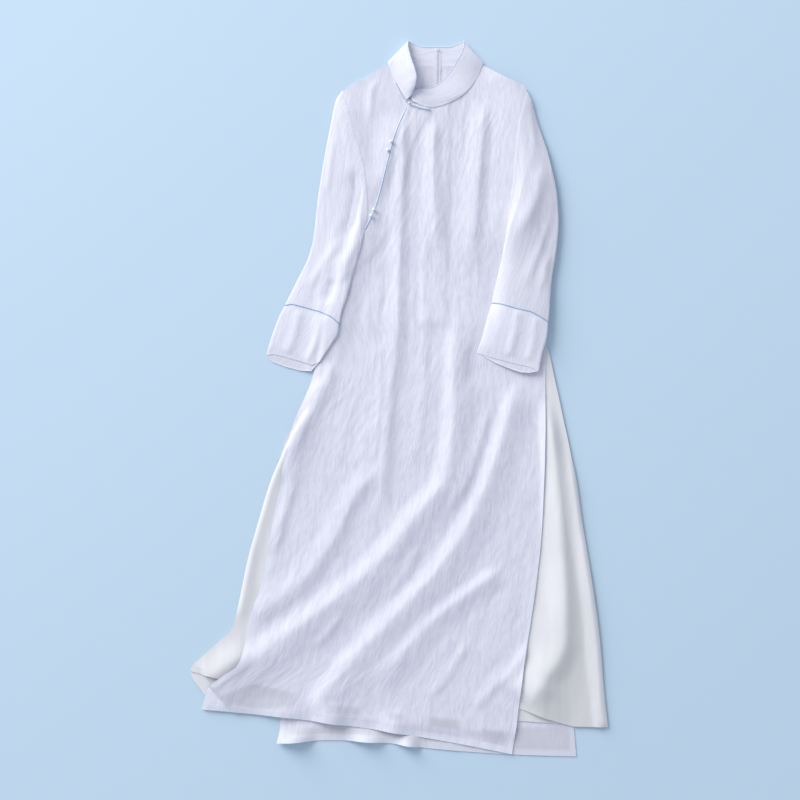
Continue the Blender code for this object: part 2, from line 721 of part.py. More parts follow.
def make_sleeve(side):
    """A sleeve, its cuff and the piping between them, each a flattened tube."""
    data = SLEEVES[side]
    middle_up = np.array(data["cap"][2], float)
    middle_down = np.mean(np.array(data["mouth_upper"], float), axis=0)
    seam = across_line(data["seam"])
    above = shifted(seam, SEAM_HALF, middle_up)
    below = shifted(seam, SEAM_HALF, middle_down)
    armhole = [(x + data["sign"] * gap, y) for gap, (x, y) in zip(ARMHOLE_GAPS, data["armhole"])]
    armhole[0] = data["cap"][0]
    underarm = even_line([armhole[-1], data["inner"][0]], UNDERARM_CELLS + 1)
    start_lower = np.concatenate([even_line(armhole, TUBE_CELLS - UNDERARM_CELLS + 1), underarm[1:]])
    start_upper = across_line(data["cap"])
    outer = [*data["outer"][:-1], above[0]]
    inner = [*data["inner"][:-1], above[-1]]
    upper, lower = sleeve_layers(side, start_upper, start_lower, above, above, outer, inner, 13, (0.0, 1.0))
    cloth("sleeve_" + side, around(upper, lower), "outer_cloth", closed=True)

    outer = [below[0], *data["cuff_outer"][1:]]
    inner = [below[-1], *data["cuff_inner"][1:]]
    mouth_upper, mouth_lower = across_line(data["mouth_upper"]), across_line(data["mouth_lower"])
    upper, lower = sleeve_layers(side, below, below, mouth_upper, mouth_lower, outer, inner, 5, (1.0, 2.0))
    cloth("cuff_" + side, around(upper, lower), "outer_cloth", closed=True)

    first, last = [seam[0], below[0]], [seam[-1], below[-1]]
    upper, lower = sleeve_layers(side, seam, seam, below, below, first, last, 1, (1.0, 1.01))
    ring = around(upper, lower)[0, :-1]
    ring[:, 2] = np.maximum(ring[:, 2], PIPING_RADIUS)
    cord("cuff_piping_" + side, ring, PIPING_RADIUS, "piping", closed=True)


def make_collar(side):
    """Half of the stand collar, with piping along its upper edge."""
    rows = smooth_line(COLLAR_ROWS[side], 24)
    seam, edge = rows[:, None, :3], rows[:, None, 3:]
    v = np.linspace(0.0, 1.0, 5)[None, :, None]
    band = seam * (1 - v) + edge * v
    stands = smooth((edge[..., 2:] - 4) / 10)
    band[..., 2:] = band[..., 2:] + 1.8 * stands * np.sin(np.pi * v)
    under = shoulder_height if side == "left" else front_height
    clear = under(band[..., 0], band[..., 1]) + WALL / 2 + GAP + COLLAR_WALL / 2
    on_panel = smooth((rows[:, None, 2] - 2.5) / 1.0) * (v[..., 0] < 0.4)
    band[..., 2] = np.maximum(band[..., 2], clear * on_panel)
    cloth("collar_" + side, band, "outer_cloth", wall=COLLAR_WALL)
    along = np.gradient(band[:, -1], axis=0)
    along = along / np.linalg.norm(along, axis=1)[:, None]
    way = band[:, -1] - band[:, -2]
    way = way - np.sum(way * along, axis=1)[:, None] * along
    way = way / np.linalg.norm(way, axis=1)[:, None]
    line = band[:, -1] + way * (PIPING_RADIUS + 2 * GAP)
    line[:, 2] = np.maximum(line[:, 2], PIPING_RADIUS)
    cord("collar_piping_" + side, line, PIPING_RADIUS, "piping")


def make_fastenings():
    """Piping along the opening, two pairs of pearls, and the knotted cord that closes the collar."""
    line = smooth_line(OPENING, 24)[1:-2]
    line = line - np.array([PIPING_RADIUS + 3 * GAP, 0.0])
    level = FLOOR + LAYER + WALL / 2 + GAP + PIPING_RADIUS
    cord("opening_piping", np.column_stack([line, np.full(len(line), level)]), PIPING_RADIUS, "piping")
    apart = PIPING_RADIUS + PEARL_RADIUS + GAP
    for number, (x, y) in enumerate(PEARLS, 1):
        beside = abs(nearest(x, y, line)[0])
        rise = np.sqrt(apart**2 - min(beside, apart) ** 2)
        height = level + max(rise, PEARL_RADIUS - PIPING_RADIUS)
        ball("pearl_" + str(number), (x, y, height), PEARL_RADIUS, "pearl")
    top = front_height(np.array([KNOT[0]]), np.array([KNOT[1]]))[0] + WALL / 2 + GAP
    ball("frog_knot", (*KNOT, top + KNOT_RADIUS), KNOT_RADIUS, "piping")
    legs = [("frog_leg_left", LEG_LEFT, shoulder_height), ("frog_leg_right", LEG_RIGHT, front_height)]
    for name, path, under in legs:
        line = smooth_line(path, 9)
        height = under(line[:, 0], line[:, 1]) + WALL / 2 + 2 * GAP + CORD_RADIUS
        cord(name, np.column_stack([line, height]), CORD_RADIUS, "piping")


for old in list(bpy.data.objects):
    bpy.data.objects.remove(old)
GARMENT = bpy.data.collections.new("cheongsam")
bpy.context.scene.collection.children.link(GARMENT)

make_back()
make_lining()
make_front()
make_zip()
for side in ("left", "right"):
    make_sleeve(side)
    make_collar(side)
make_fastenings()
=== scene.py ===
# %% [markdown]
# # A long white dress, laid flat
#
# This lesson dresses a plain CAD model of a stand-collared dress in cloth. The dress lies on its back on a
# flat surface and is seen from straight above. Each cloth panel of the CAD model is a thick, smooth plate.
# Here each gets a thin sheet in its place, cut along the same edges, with creases, hems and stitches.
# The first cell loads the CAD model. Its lengths are metres. The tables below hold millimetres, because a
# maker measures cloth in them, and MM turns them into metres when a mesh is made.

import math

import bpy
import numpy as np
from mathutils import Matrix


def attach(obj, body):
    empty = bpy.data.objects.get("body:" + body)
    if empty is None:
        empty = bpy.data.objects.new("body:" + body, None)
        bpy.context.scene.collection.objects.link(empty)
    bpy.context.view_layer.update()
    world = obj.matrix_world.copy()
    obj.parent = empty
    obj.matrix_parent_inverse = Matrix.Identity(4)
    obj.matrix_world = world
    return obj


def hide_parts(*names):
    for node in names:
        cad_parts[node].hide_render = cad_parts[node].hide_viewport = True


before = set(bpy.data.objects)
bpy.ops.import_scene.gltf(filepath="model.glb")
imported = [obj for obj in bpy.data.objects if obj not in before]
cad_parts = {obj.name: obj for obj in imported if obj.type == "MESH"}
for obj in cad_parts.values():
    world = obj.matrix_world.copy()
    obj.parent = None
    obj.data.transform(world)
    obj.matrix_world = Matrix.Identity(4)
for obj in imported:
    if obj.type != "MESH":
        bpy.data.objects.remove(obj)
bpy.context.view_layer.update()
MM = 0.001

# %% [markdown]
# ## How the layers lie
#
# A garment that lies flat is a stack. The back is on the surface, then the two layers of the skirt lining,
# then the front, and the sleeves lie over the front's sides. Every height is the middle of a layer's
# thickness. Levels and outlines are those of the CAD model, so that each sheet fits the space of its plate.
# Some folds, hems and sleeve edges stand higher or lower here than there, to catch the light as cloth does.

# %% Thicknesses and levels
CLOTH = 0.5
COLLAR_CLOTH = 1.2
TAPE_CLOTH = 0.4
FLOOR = 0.5
ON_FLOOR = FLOOR - 0.2
LAYER = 1.3
EDGE_FOLD = 0.9
PIPING_RADIUS, OPENING_PIPING_RADIUS, CUFF_PIPING_RADIUS = 0.9, 1.0, 1.3
LEFT_CORD_RADIUS, RIGHT_CORD_RADIUS = 1.2, 1.6
PEARL_RADIUS = 3.0
KNOT_RADIUS = 2.6
GAP = 0.3

SEAM_X_AT_NECK, NECK_Y = 69.0, 598.0
SEAM_X_AT_HEM, HEM_Y = 49.0, -629.0
ZIP_TOP, ZIP_END, TAPE_WIDTH = 627.0, 152.0, 6.0
UNDERLAP = 30.0
LINING_TOP = 120.0

# %% [markdown]
# ## The cutting plan
#
# A panel is a table of rows from top to bottom. A row holds the x and y of its left end, the x and y of its
# right end, and how far its middle hangs below the straight line between them. In the back's rows the last
# number is the y of the middle seam. Left and right are those of someone who looks down at the dress.

# %% Tables of the panels
BACK_ROWS = [
    (-101, 552, 229, 554, 598), (-88, 501, 218, 501, 540), (-79, 447, 212, 447, 478),
    (-79, 384, 212, 384, 408), (-88, 330, 221, 330, 345), (-110, 289, 243, 289, 292),
    (-124, 213, 256, 213, 213), (-139, 141, 263, 141, 141), (-146, 87, 265, 96, 90),
    (-157, 33, 269, 33, 33), (-187, -39, 274, -39, -39), (-212, -107, 279, -107, -107),
    (-212, -273, 289, -273, -273), (-212, -435, 301, -435, -435), (-214, -588, 315, -597, -592),
    (-220, -620, 319, -644, -629),
]
BACK_TOP_LEFT = [(-101, 552), (-79, 568), (-52, 582), (-16, 601), (10, 599), (69, 598)]
BACK_TOP_RIGHT = [(69, 598), (120, 599), (146, 602), (182, 582), (209, 564), (229, 554)]
BACK_SAG_LEFT, BACK_SAG_RIGHT = -9.0, 3.0
BACK_HEM = [(-220, -620), (-160, -617), (49, -629), (203, -641), (319, -644)]

FRONT_ROWS = [
    (18, 530, 146, 602, 0), (8, 508, 188, 579, 0), (-4, 480, 229, 554, 0), (-14, 447, 218, 501, 0),
    (-23, 411, 212, 447, 0), (-32, 375, 212, 400, 0), (-41, 345, 214, 362, 0), (-49, 325, 221, 330, 0),
    (-63, 298, 235, 303, 0), (-90, 268, 244, 285, 0), (-118, 246, 250, 250, 0), (-124, 213, 256, 213, 0),
    (-139, 141, 263, 141, 0), (-146, 87, 265, 96, 0), (-157, 33, 263, 33, 0), (-187, -39, 263, -39, 0),
    (-206, -107, 262, -110, 0), (-215, -165, 260, -165, 0), (-226, -215, 258, -215, 0),
    (-236, -276, 254, -270, 0), (-248, -335, 247, -330, 0), (-262, -376, 240, -380, 0),
    (-273, -410, 233, -425, -2), (-278, -445, 226, -470, -3), (-290, -479, 220, -515, -4),
    (-318, -499, 215, -555, -6), (-342, -520, 211, -590, -8), (-356, -559, 203, -640, -9),
]
FRONT_NECKLINE = [
    (18, 530), (40, 531), (57, 527), (75, 530), (93, 538), (111, 548), (125, 560), (134, 574), (141, 588),
    (146, 602),
]
FRONT_HEM = [
    (-356, -559), (-286, -572), (-214, -582), (-142, -582), (-88, -591), (-7, -598), (74, -613),
    (203, -640),
]
OPENING = [(18, 530), (-4, 480), (-14, 447), (-23, 411), (-32, 375), (-41, 345), (-49, 325), (-63, 298)]
OPENING_TO_SIDE = [*OPENING, (-90, 268), (-118, 246)]

SHOULDER_ROWS = [
    (-101, 552, 38, 530, 0), (-88, 501, 19, 486, 0), (-79, 447, 8, 450, 0), (-79, 384, -5, 404, 0),
    (-88, 330, -15, 362, 0), (-110, 289, -26, 331, 0), (-110, 264, -42, 299, 0), (-106, 250, -76, 258, 0),
]
SHOULDER_TOP = [
    (-101, 552), (-79, 568), (-52, 582), (-16, 601), (-9, 588), (-3, 575), (8, 552), (20, 537), (38, 530),
]

LINING_ROWS = [
    (-127, 120, 250, 120, 0), (-132, 80, 269, 84, 0), (-141, 40, 279, 40, 0), (-157, -3, 289, -5, 0),
    (-175, -39, 296, -39, 0), (-199, -75, 304, -75, 0), (-214, -109, 311, -110, 0),
    (-230, -147, 319, -147, 0), (-252, -219, 329, -219, 0), (-272, -291, 341, -291, 0),
    (-287, -363, 352, -363, 0), (-299, -411, 359, -415, 0), (-322, -435, 363, -455, 0),
    (-352, -462, 367, -507, 0),
]
LINING_FRONT_ENDS = [(-368, -478, 371, -550, 0), (-376, -490, 376, -591, 0)]
LINING_BACK_ENDS = [(-376, -490, 371, -550, 0), (-347, -537, 376, -592, 0)]
LINING_BACK_HEM = [(-376, -490), (-347, -537), (214, -590), (376, -592)]
LINING_FRONT_HEM = [
    (-376, -490), (-268, -519), (-97, -543), (40, -572), (164, -572), (216, -557), (263, -575), (313, -590),
    (376, -591),
]


def left_ends(rows):
    return [row[:2] for row in rows]


def right_ends(rows):
    return [row[2:4] for row in rows]


# %% [markdown]
# ## The folds
#
# A fold row says how high its crest is, how wide its left and right slopes are, how far it takes to rise at
# its start and to fall at its end, and the line of the crest. A negative height is a trough. The long folds
# of the skirt start at the hip and swing towards the lower left corner, because the hem was pulled that way.
# A lift says where along a hem the cloth stands off the surface, how high, and half of how wide.

# %% Tables of the folds
FRONT_FOLDS = [
    (4.2, 34, 26, 50, 80, [
        (7, 516), (7, 429), (3, 320), (-1, 177), (-4, 105), (-18, -3), (-22, -64), (-28, -141), (-33, -210),
    ]),
    (4.4, 50, 38, 60, 50, [
        (-28, -110), (-56, -145), (-84, -183), (-110, -237), (-147, -298), (-188, -342), (-231, -371),
        (-276, -407),
    ]),
    (5.2, 48, 28, 50, 120, [(152, 537), (149, 483), (144, 420), (136, 320), (129, 245), (124, 200)]),
    (7.3, 40, 78, 120, 1, [
        (119, 177), (101, 90), (99, -24), (88, -132), (31, -210), (-50, -307), (-145, -384), (-240, -453),
        (-330, -527),
    ]),
    (6.5, 34, 74, 50, 30, [
        (210, 33), (198, -24), (172, -112), (142, -190), (86, -287), (8, -375), (-68, -453), (-132, -530),
        (-158, -570),
    ]),
    (4.7, 30, 52, 40, 100, [
        (188, -302), (155, -327), (116, -356), (66, -395), (28, -435), (-6, -473), (-42, -512), (-60, -541),
    ]),
    (3.9, 26, 28, 40, 60, [(66, 510), (62, 447), (62, 375), (67, 300), (66, 250)]),
    (4.5, 32, 46, 30, 60, [(-120, 70), (-138, 24), (-163, -39), (-184, -93), (-196, -140), (-205, -190)]),
    (1.8, 60, 16, 30, 50, [(-30, 110), (-33, 60), (-36, -3), (-46, -93), (-60, -150)]),
    (1.2, 22, 22, 40, 40, [(47, 177), (45, 69), (38, -39), (23, -129)]),
    (2.2, 26, 20, 40, 50, [(164, -3), (146, -75), (121, -147), (95, -201)]),
    (2.8, 34, 20, 40, 40, [(-182, -140), (-198, -183), (-216, -237), (-230, -290)]),
    (1.7, 18, 18, 30, 30, [(-97, -381), (-124, -417), (-157, -453)]),
    (1.2, 20, 20, 20, 30, [(38, -264), (9, -318), (-27, -363)]),
    (2.2, 24, 20, 30, 30, [(236, -435), (209, -480), (164, -525), (128, -564)]),
    (1.7, 20, 20, 30, 30, [(128, -435), (92, -489), (56, -543)]),
]
SIDE_SWELLS = [
    (4.6, 66, 36, 50, 80, [
        (-104, 555), (-85, 492), (-65, 420), (-59, 375), (-58, 339), (-62, 308), (-70, 271), (-85, 213),
        (-103, 155), (-112, 115), (-134, 66),
    ]),
    (8, 90, 64, 50, 90, [
        (186, 625), (210, 560), (220, 483), (226, 420), (232, 380), (232, 350), (218, 317), (204, 275),
        (192, 235),
    ]),
]
OPENING_SWELL = [
    (4.5, 40, 22, 40, 60, [(4, 515), (-7, 480), (-17, 447), (-26, 411), (-35, 375), (-43, 345)]),
]
SHOULDER_FOLDS = [(2, 12, 10, 20, 30, [(-42, 590), (-50, 540), (-54, 490)])]
LINING_LONG_FOLD = [
    (8.5, 66, 44, 80, 60, [
        (265, 6), (279, -93), (288, -183), (293, -273), (297, -363), (295, -435), (283, -471), (263, -498),
        (239, -534), (223, -557),
    ]),
]
LINING_FOLDS = [
    (4, 80, 96, 120, 30, [
        (293, -273), (297, -363), (295, -435), (283, -471), (263, -498), (239, -534), (223, -557),
    ]),
    (3, 5, 26, 60, 40, [
        (-152, -3), (-194, -75), (-226, -147), (-248, -219), (-268, -291), (-283, -363), (-296, -411),
    ]),
    (4, 30, 5, 80, 1, [
        (300, -75), (315, -147), (325, -219), (337, -291), (348, -363), (359, -455), (366, -550),
        (370, -591),
    ]),
    (4.5, 40, 56, 30, 1, [(264, -500), (258, -545), (254, -592)]),
    (6, 44, 34, 40, 1, [(-262, -446), (-304, -476), (-346, -503)]),
]
BACK_HEM_LIFTS = [(-190, 16, 46), (-58, 14, 42), (16, 14, 28)]
FRONT_HEM_LIFTS = [(-215, 4, 46), (-122, 9, 42), (-9, 8, 44)]

# %% [markdown]
# ## The sleeves, the collar and the trimmings
#
# A sleeve is a flattened tube, so its table holds the edges between which it lies: the outer and the inner
# edge, the line where its upper layer meets the body, the armhole, the seam of the cuff and the two lips of
# the mouth. Its sign points away from the body and its seed picks the creases. Two numbers give the painted
# light of the sleeve and of its cuff, and one the painted shade of the sleeve. Puffs say how far the layers
# stand apart on the way down, puff_ramps over what share of the width they part, and lifts how far both
# edges stand off what is below. The collar's rows run from the middle of the back round to the front, each
# from the neck seam to the upper edge, with their heights.

# %% Tables of the sleeves, collar and trimmings
SLEEVES = {
    "left": {
        "sign": -1,
        "seed": 41,
        # Painted light on the sleeve and on the cuff, then painted shade on the sleeve:
        "painted_light": (0.2, 0.6),
        "sheer_shade": 0.0,
        "puffs": [0.0, 2.5, 2.5, 1.4, 0.3],
        "puff_ramps": (0.35, 0.3),
        "lifts": (0.6, 2.6),
        "outer": [
            (-104, 555), (-113, 537), (-121, 501), (-135, 429), (-146, 357), (-153, 294), (-160, 262),
            (-187, 204), (-205, 168),
        ],
        "inner": [(-68, 286), (-70, 271), (-77, 240), (-85, 213), (-94, 181), (-103, 155), (-107, 134)],
        "cap": [(-104, 555), (-85, 492), (-65, 420), (-59, 375), (-58, 339), (-62, 308), (-68, 286)],
        "armhole": [(-101, 552), (-88, 501), (-79, 447), (-79, 384), (-88, 330), (-110, 289)],
        "seam": [(-205, 168), (-193, 170), (-173, 165), (-142, 156), (-122, 147), (-107, 134)],
        "cuff_outer": [(-205, 168), (-215, 148), (-229, 111), (-239, 77)],
        "cuff_inner": [(-107, 134), (-109, 120), (-124, 94), (-143, 66)],
        "mouth_upper": [(-239, 77), (-228, 80), (-205, 75), (-178, 67), (-156, 60), (-143, 66)],
        "mouth_lower": [(-239, 77), (-228, 66), (-205, 57), (-178, 50), (-158, 49), (-143, 66)],
        "folds": [
            (-3.5, 26, 14, 30, 20, [(-112, 250), (-120, 205), (-128, 165)]),
            (-6, 30, 15, 30, 60, [(-82, 412), (-76, 372), (-80, 332), (-92, 295), (-108, 260)]),
            (2, 16, 12, 40, 50, [(-74, 320), (-80, 280), (-96, 235), (-112, 190)]),
            (2, 14, 14, 40, 40, [(-92, 300), (-122, 262), (-146, 226), (-168, 190)]),
            (1.5, 12, 12, 30, 30, [(-84, 262), (-112, 230), (-136, 196)]),
            (1.5, 12, 12, 30, 30, [(-118, 480), (-124, 420), (-132, 360)]),
        ],
        "cuff_folds": [
            (2, 14, 14, 10, 10, [(-178, 160), (-190, 110), (-204, 78)]),
            (2, 12, 12, 10, 10, [(-138, 150), (-150, 100), (-170, 64)]),
        ],
    },
    "right": {
        "sign": 1,
        "seed": 51,
        # Painted light on the sleeve and on the cuff, then painted shade on the sleeve:
        "painted_light": (0.0, 0.5),
        "sheer_shade": 0.3,
        "puffs": [0.0, 4.0, 8.0, 5.0, 0.3],
        "puff_ramps": (0.75, 0.25),
        "lifts": (9.0, 0.0),
        "outer": [
            (232, 557), (239, 537), (248, 501), (270, 429), (284, 357), (286, 315), (281, 258), (275, 222),
            (270, 165), (268, 137),
        ],
        "inner": [(193, 300), (190, 280), (184, 249), (176, 213), (167, 172)],
        "cap": [(232, 557), (218, 501), (212, 447), (207, 384), (199, 335), (193, 300)],
        "armhole": [(229, 554), (218, 501), (212, 447), (212, 384), (221, 330), (243, 289)],
        "seam": [(268, 137), (254, 146), (236, 156), (209, 162), (182, 170), (167, 172)],
        "cuff_outer": [(268, 137), (265, 112), (256, 78), (250, 49)],
        "cuff_inner": [(167, 172), (159, 145), (151, 114), (140, 82)],
        "mouth_upper": [(250, 49), (234, 57), (218, 60), (191, 67), (164, 74), (140, 82)],
        "mouth_lower": [(250, 49), (234, 46), (218, 47), (200, 53), (173, 64), (140, 82)],
        "folds": [
            (2.8, 20, 20, 30, 60, [(254, 420), (251, 384), (245, 357), (230, 321), (213, 285)]),
            (1.5, 12, 12, 30, 40, [(236, 520), (240, 470), (246, 420)]),
            (1.5, 14, 12, 30, 40, [(270, 330), (256, 280), (236, 230), (222, 190)]),
            (1.5, 12, 10, 30, 40, [(276, 270), (262, 230), (250, 180)]),
        ],
        "cuff_folds": [
            (2, 14, 12, 10, 10, [(214, 160), (206, 110), (196, 74)]),
            (1.5, 12, 12, 10, 10, [(246, 148), (240, 100), (230, 66)]),
        ],
    },
}
COLLAR_ROWS = {
    "left": [
        (68.7, 599.3, 0.7, 68.7, 631, 0.7), (46, 599.3, 0.7, 46, 631, 0.7), (22, 600.8, 0.7, 33, 634, 1.0),
        (2, 602.5, 0.7, 24, 637.5, 2.4), (-12, 605, 0.9, 18, 640, 4.6), (-19, 605.5, 2.3, 15.5, 640, 7.5),
        (-20, 602, 3.7, 15, 634, 11), (-17, 595, 3.8, 17.5, 621, 14.5), (-12, 584, 3.8, 22, 605, 18),
        (-7, 573, 3.8, 27, 590, 20.5), (-1, 561, 3.8, 30, 576, 21), (5, 550, 3.8, 28, 562, 18),
        (10, 542, 3.9, 23.5, 550, 12), (13.5, 537.5, 4.1, 19, 542, 8),
    ],
    "right": [
        (69.3, 599.3, 0.7, 69.3, 631, 0.7), (90, 599.3, 0.7, 90, 631, 0.7),
        (112, 600.8, 0.7, 101, 634, 1.0), (132, 603, 0.7, 110, 638, 2.4),
        (143, 606, 0.9, 115.5, 640.5, 4.6), (149.5, 606, 2.4, 118, 640, 7),
        (150.5, 602.5, 3.7, 117.5, 633, 9.5), (148, 595, 3.8, 114, 621, 11), (143, 583, 3.8, 107, 609, 12),
        (136, 570, 3.8, 100, 597, 13), (126, 557, 3.8, 92, 585, 14), (113, 545, 3.8, 82, 573, 16),
        (95, 534.5, 3.8, 69, 562.5, 20), (75, 526.5, 3.8, 56, 557, 22), (57, 523.5, 4.5, 43.5, 556, 22),
        (42, 526.5, 5.1, 35, 556, 20), (33, 530.5, 5.2, 32, 554.5, 13), (27, 533, 5.3, 27, 551, 7.0),
        (22.5, 535.5, 5.3, 23, 546.5, 5.6),
    ],
}
PEARLS = [(-14, 461), (-20, 446), (-45, 339), (-50, 328)]
KNOT = (18.5, 530.5)
LEG_LEFT = [(13, 534.5), (4, 546.5), (-6.5, 568)]
LEG_RIGHT = [(23.8, 527.8), (38, 523), (55, 519.5)]

# %% [markdown]
# ## Lines
#
# A cut edge is a smooth line through a few points. It must never swing past a point, or corners would
# spill over, so each slope is the harmonic mean of its neighbours, and zero where the line turns back.

# %% Line helpers
CURVE_STEPS, FOLD_POINTS = 12, 44
CREST_POWER = 0.8


def smooth(t):
    """Eases from 0 to 1."""
    t = np.clip(t, 0.0, 1.0)
    return t * t * (3 - 2 * t)


def walked_along(points):
    """Lengths walked along the straight runs between points."""
    return np.concatenate([[0.0], np.cumsum(np.linalg.norm(np.diff(points, axis=0), axis=1))])


def even_line(points, count):
    """Points spread evenly along the straight runs between the given points."""
    points = np.array(points, float)
    along = walked_along(points)
    at = np.linspace(0.0, along[-1], count)
    return np.stack([np.interp(at, along, column) for column in points.T], axis=1)


def points_at(shares, line, count):
    """Points at these shares of the way along a line, which is first spread into so many points."""
    fine = even_line(line, count)
    return np.stack([np.interp(shares, np.linspace(0.0, 1.0, count), column) for column in fine.T], axis=1)


def curve_through(points, steps):
    """A smooth line through every given point, with so many steps from each point to the next."""
    points = np.array(points, float)
    run = np.linalg.norm(np.diff(points, axis=0), axis=1)[:, None]
    rate = np.diff(points, axis=0) / run
    before, after = rate[:-1], rate[1:]
    same_way = before * after > 0
    middle = np.where(same_way, 2 * before * after / np.where(same_way, before + after, 1.0), 0.0)
    slopes = np.concatenate([rate[:1], middle, rate[-1:]])
    line = [points[:1]]
    for i, count in enumerate(steps):
        t = (np.arange(1, count + 1) / count)[:, None]
        m, n = slopes[i] * run[i], slopes[i + 1] * run[i]
        stretch = (2 * t**3 - 3 * t**2 + 1) * points[i] + (t**3 - 2 * t**2 + t) * m
        line.append(stretch + (3 * t**2 - 2 * t**3) * points[i + 1] + (t**3 - t**2) * n)
    return np.concatenate(line)


def smooth_line(points, count):
    """Points spread evenly along a smooth line."""
    return even_line(curve_through(points, [CURVE_STEPS] * (len(points) - 1)), count)


def nearest(x, y, line):
    """Distance from a line, with + on the right of someone walking down it, and the length walked."""
    best = np.full(np.shape(x), np.inf)
    signed = np.zeros(np.shape(x))
    walked = np.zeros(np.shape(x))
    start = 0.0
    for (ax, ay), (bx, by) in zip(line[:-1], line[1:]):
        dx, dy = bx - ax, by - ay
        length = np.hypot(dx, dy)
        t = np.clip(((x - ax) * dx + (y - ay) * dy) / length**2, 0.0, 1.0)
        ox, oy = x - ax - t * dx, y - ay - t * dy
        away = np.hypot(ox, oy)
        closer = away < best
        best = np.where(closer, away, best)
        signed = np.where(closer, np.where(-ox * dy + oy * dx < 0, -away, away), signed)
        walked = np.where(closer, start + t * length, walked)
        start += length
    return signed, walked, start


def apart(x, y, line):
    """Distance from a line, on either side."""
    return np.abs(nearest(x, y, line)[0])


def relief(x, y, folds, spread=1.0):
    """Height that a table of folds adds. Both slopes are soft and a little steeper beside the crest. Spread
    is a fold's width at its start, as a share of the width at its end."""
    height = np.zeros(np.shape(x))
    for crest, left, right, rise, fall, path in folds:
        away, walked, whole = nearest(x, y, smooth_line(path, FOLD_POINTS))
        width = np.where(away < 0, left, right) * (spread + (1 - spread) * walked / whole)
        side = np.cos(np.pi / 2 * np.clip(np.abs(away) / width, 0.0, 1.0) ** CREST_POWER) ** 2
        height = height + crest * side * smooth(walked / rise) * smooth((whole - walked) / fall)
    return height


def x_of(y, edge):
    """The x of an edge, a list of (x, y) from top to bottom, at each y."""
    x, down = np.array(edge, float)[::-1].T
    return np.interp(y, down, x)


def y_of(x, line):
    """The y of a line, a list of (x, y) from left to right, at each x."""
    return np.interp(x, *zip(*line))


OPENING_LINE = smooth_line(OPENING, 24)
SLANT_LINE = smooth_line(OPENING_TO_SIDE, 24)
print("front folds:", len(FRONT_FOLDS), "lining folds:", len(LINING_FOLDS))

# %% [markdown]
# ## Crinkle
#
# The outer cloth is a washed linen weave. It keeps many small creases along its length, about a centimetre
# wide and a few centimetres long. They are real relief here, made from smoothed random values on a lattice
# whose cells are long along the cloth. The seeds are fixed, so every run gives the same cloth. Each piece
# has its own height of creases.

# %% Crinkle helper
LATTICE = 128
BACK_CREASES, SHOULDER_CREASES, FRONT_CREASES, SLEEVE_CREASES = 0.8, 0.8, 1.25, 0.8
BACK_SEED, SHOULDER_SEED, FRONT_SEED = 11, 21, 31


def soft_noise(u, v, cell_u, cell_v, seed):
    """Smooth random values from about -1 to 1, from random slopes on a lattice."""
    turn = np.random.default_rng(seed).uniform(0, 2 * np.pi, (LATTICE, LATTICE))
    a, b = u / cell_u, v / cell_v
    i, j = np.floor(a).astype(int), np.floor(b).astype(int)
    s, t = a - i, b - j

    def corner(right, down):
        way = turn[(i + right) % LATTICE, (j + down) % LATTICE]
        return np.cos(way) * (s - right) + np.sin(way) * (t - down)

    upper = corner(0, 0) * (1 - smooth(s)) + corner(1, 0) * smooth(s)
    lower = corner(0, 1) * (1 - smooth(s)) + corner(1, 1) * smooth(s)
    return 1.5 * (upper * (1 - smooth(t)) + lower * smooth(t))


def crinkle(u, v, seed):
    """Height of the small creases, from 0 upwards, for cloth coordinates in millimetres."""
    u = u + 6 * soft_noise(u, v, 50, 50, seed)
    broad = 0.5 + 0.5 * soft_noise(u, v, 22, 75, seed + 1)
    slant = 1 - np.abs(soft_noise(u + 0.28 * v, v, 13, 46, seed + 2))
    other = 1 - np.abs(soft_noise(u - 0.12 * v, v, 15, 52, seed + 3))
    patches = 0.62 + 0.38 * soft_noise(u, v, 80, 110, seed + 4)
    return patches * (0.85 * broad + 0.55 * slant**3 + 0.45 * other**3)


# %% [markdown]
# ## Heights
#
# These functions give the height of each layer at a point, so a layer can be asked what lies under it. The
# front climbs over the shoulder panel beside the opening, over the zip's tapes and over the lining.

# %% Height helpers
OVER_LINING_FOLDS = 1.2
FRONT_FOLD_SPREAD, LONG_FOLD_SPREAD = 0.65, 0.35
FRONT_HEM_REACH, BACK_HEM_REACH = 46, 34


def over_lining(x, y):
    """1 where a layer lies on the skirt lining, easing to 0 above its top and below its hem."""
    return smooth(1 - (y - LINING_TOP - 6) / 110) * smooth(1 - (y_of(x, LINING_BACK_HEM) - 8 - y) / 24)


def over_underlap(x, y):
    """1 where the front lies on the shoulder panel beside the opening."""
    return smooth(1 - (apart(x, y, SLANT_LINE) - UNDERLAP) / 14)


def seam_x(y):
    """The x of the back's middle seam."""
    return SEAM_X_AT_HEM + (SEAM_X_AT_NECK - SEAM_X_AT_HEM) * (y - HEM_Y) / (NECK_Y - HEM_Y)


def over_zip(x, y):
    """1 where the front lies on the zip's tapes."""
    across = smooth(1 - (np.abs(x - seam_x(y)) - TAPE_WIDTH - 10) / 14)
    return across * smooth(1 - (ZIP_END - 10 - y) / 20)


def under_sleeves(x, y):
    """1 where a sleeve or a cuff covers the front, so that the front lies plain there."""
    covered = 0.0
    for side, first, reach, fade in (("left", 3, 22, 18), ("right", 2, 26, 22)):
        data = SLEEVES[side]
        inside = x_of(y, [*data["cap"][first:-1], *data["inner"], *data["cuff_inner"][1:]])
        covered = np.maximum(covered, smooth((data["sign"] * (x - inside) + reach) / fade))
    return covered * smooth((y - 18) / 30)


def hem_lift(x, above, lifts, reach):
    """Height that a loose hem's lifted places add, fading so far above the hem."""
    height = np.zeros(np.shape(x))
    for centre, high, half in lifts:
        across = np.cos(np.clip(np.abs(x - centre) / half, 0.0, 1.0) * np.pi / 2) ** 2
        height = height + high * across * smooth(1 - above / reach)
    return height


def side_swell(x, y):
    """Height of the broad swells beside the armholes, which lift the body and the sleeves alike."""
    return relief(x, y, SIDE_SWELLS)


def opening_swell(x, y):
    """Height of the swell under the opening's edge, which lifts the shoulder panel and the front alike."""
    return relief(x, y, OPENING_SWELL)


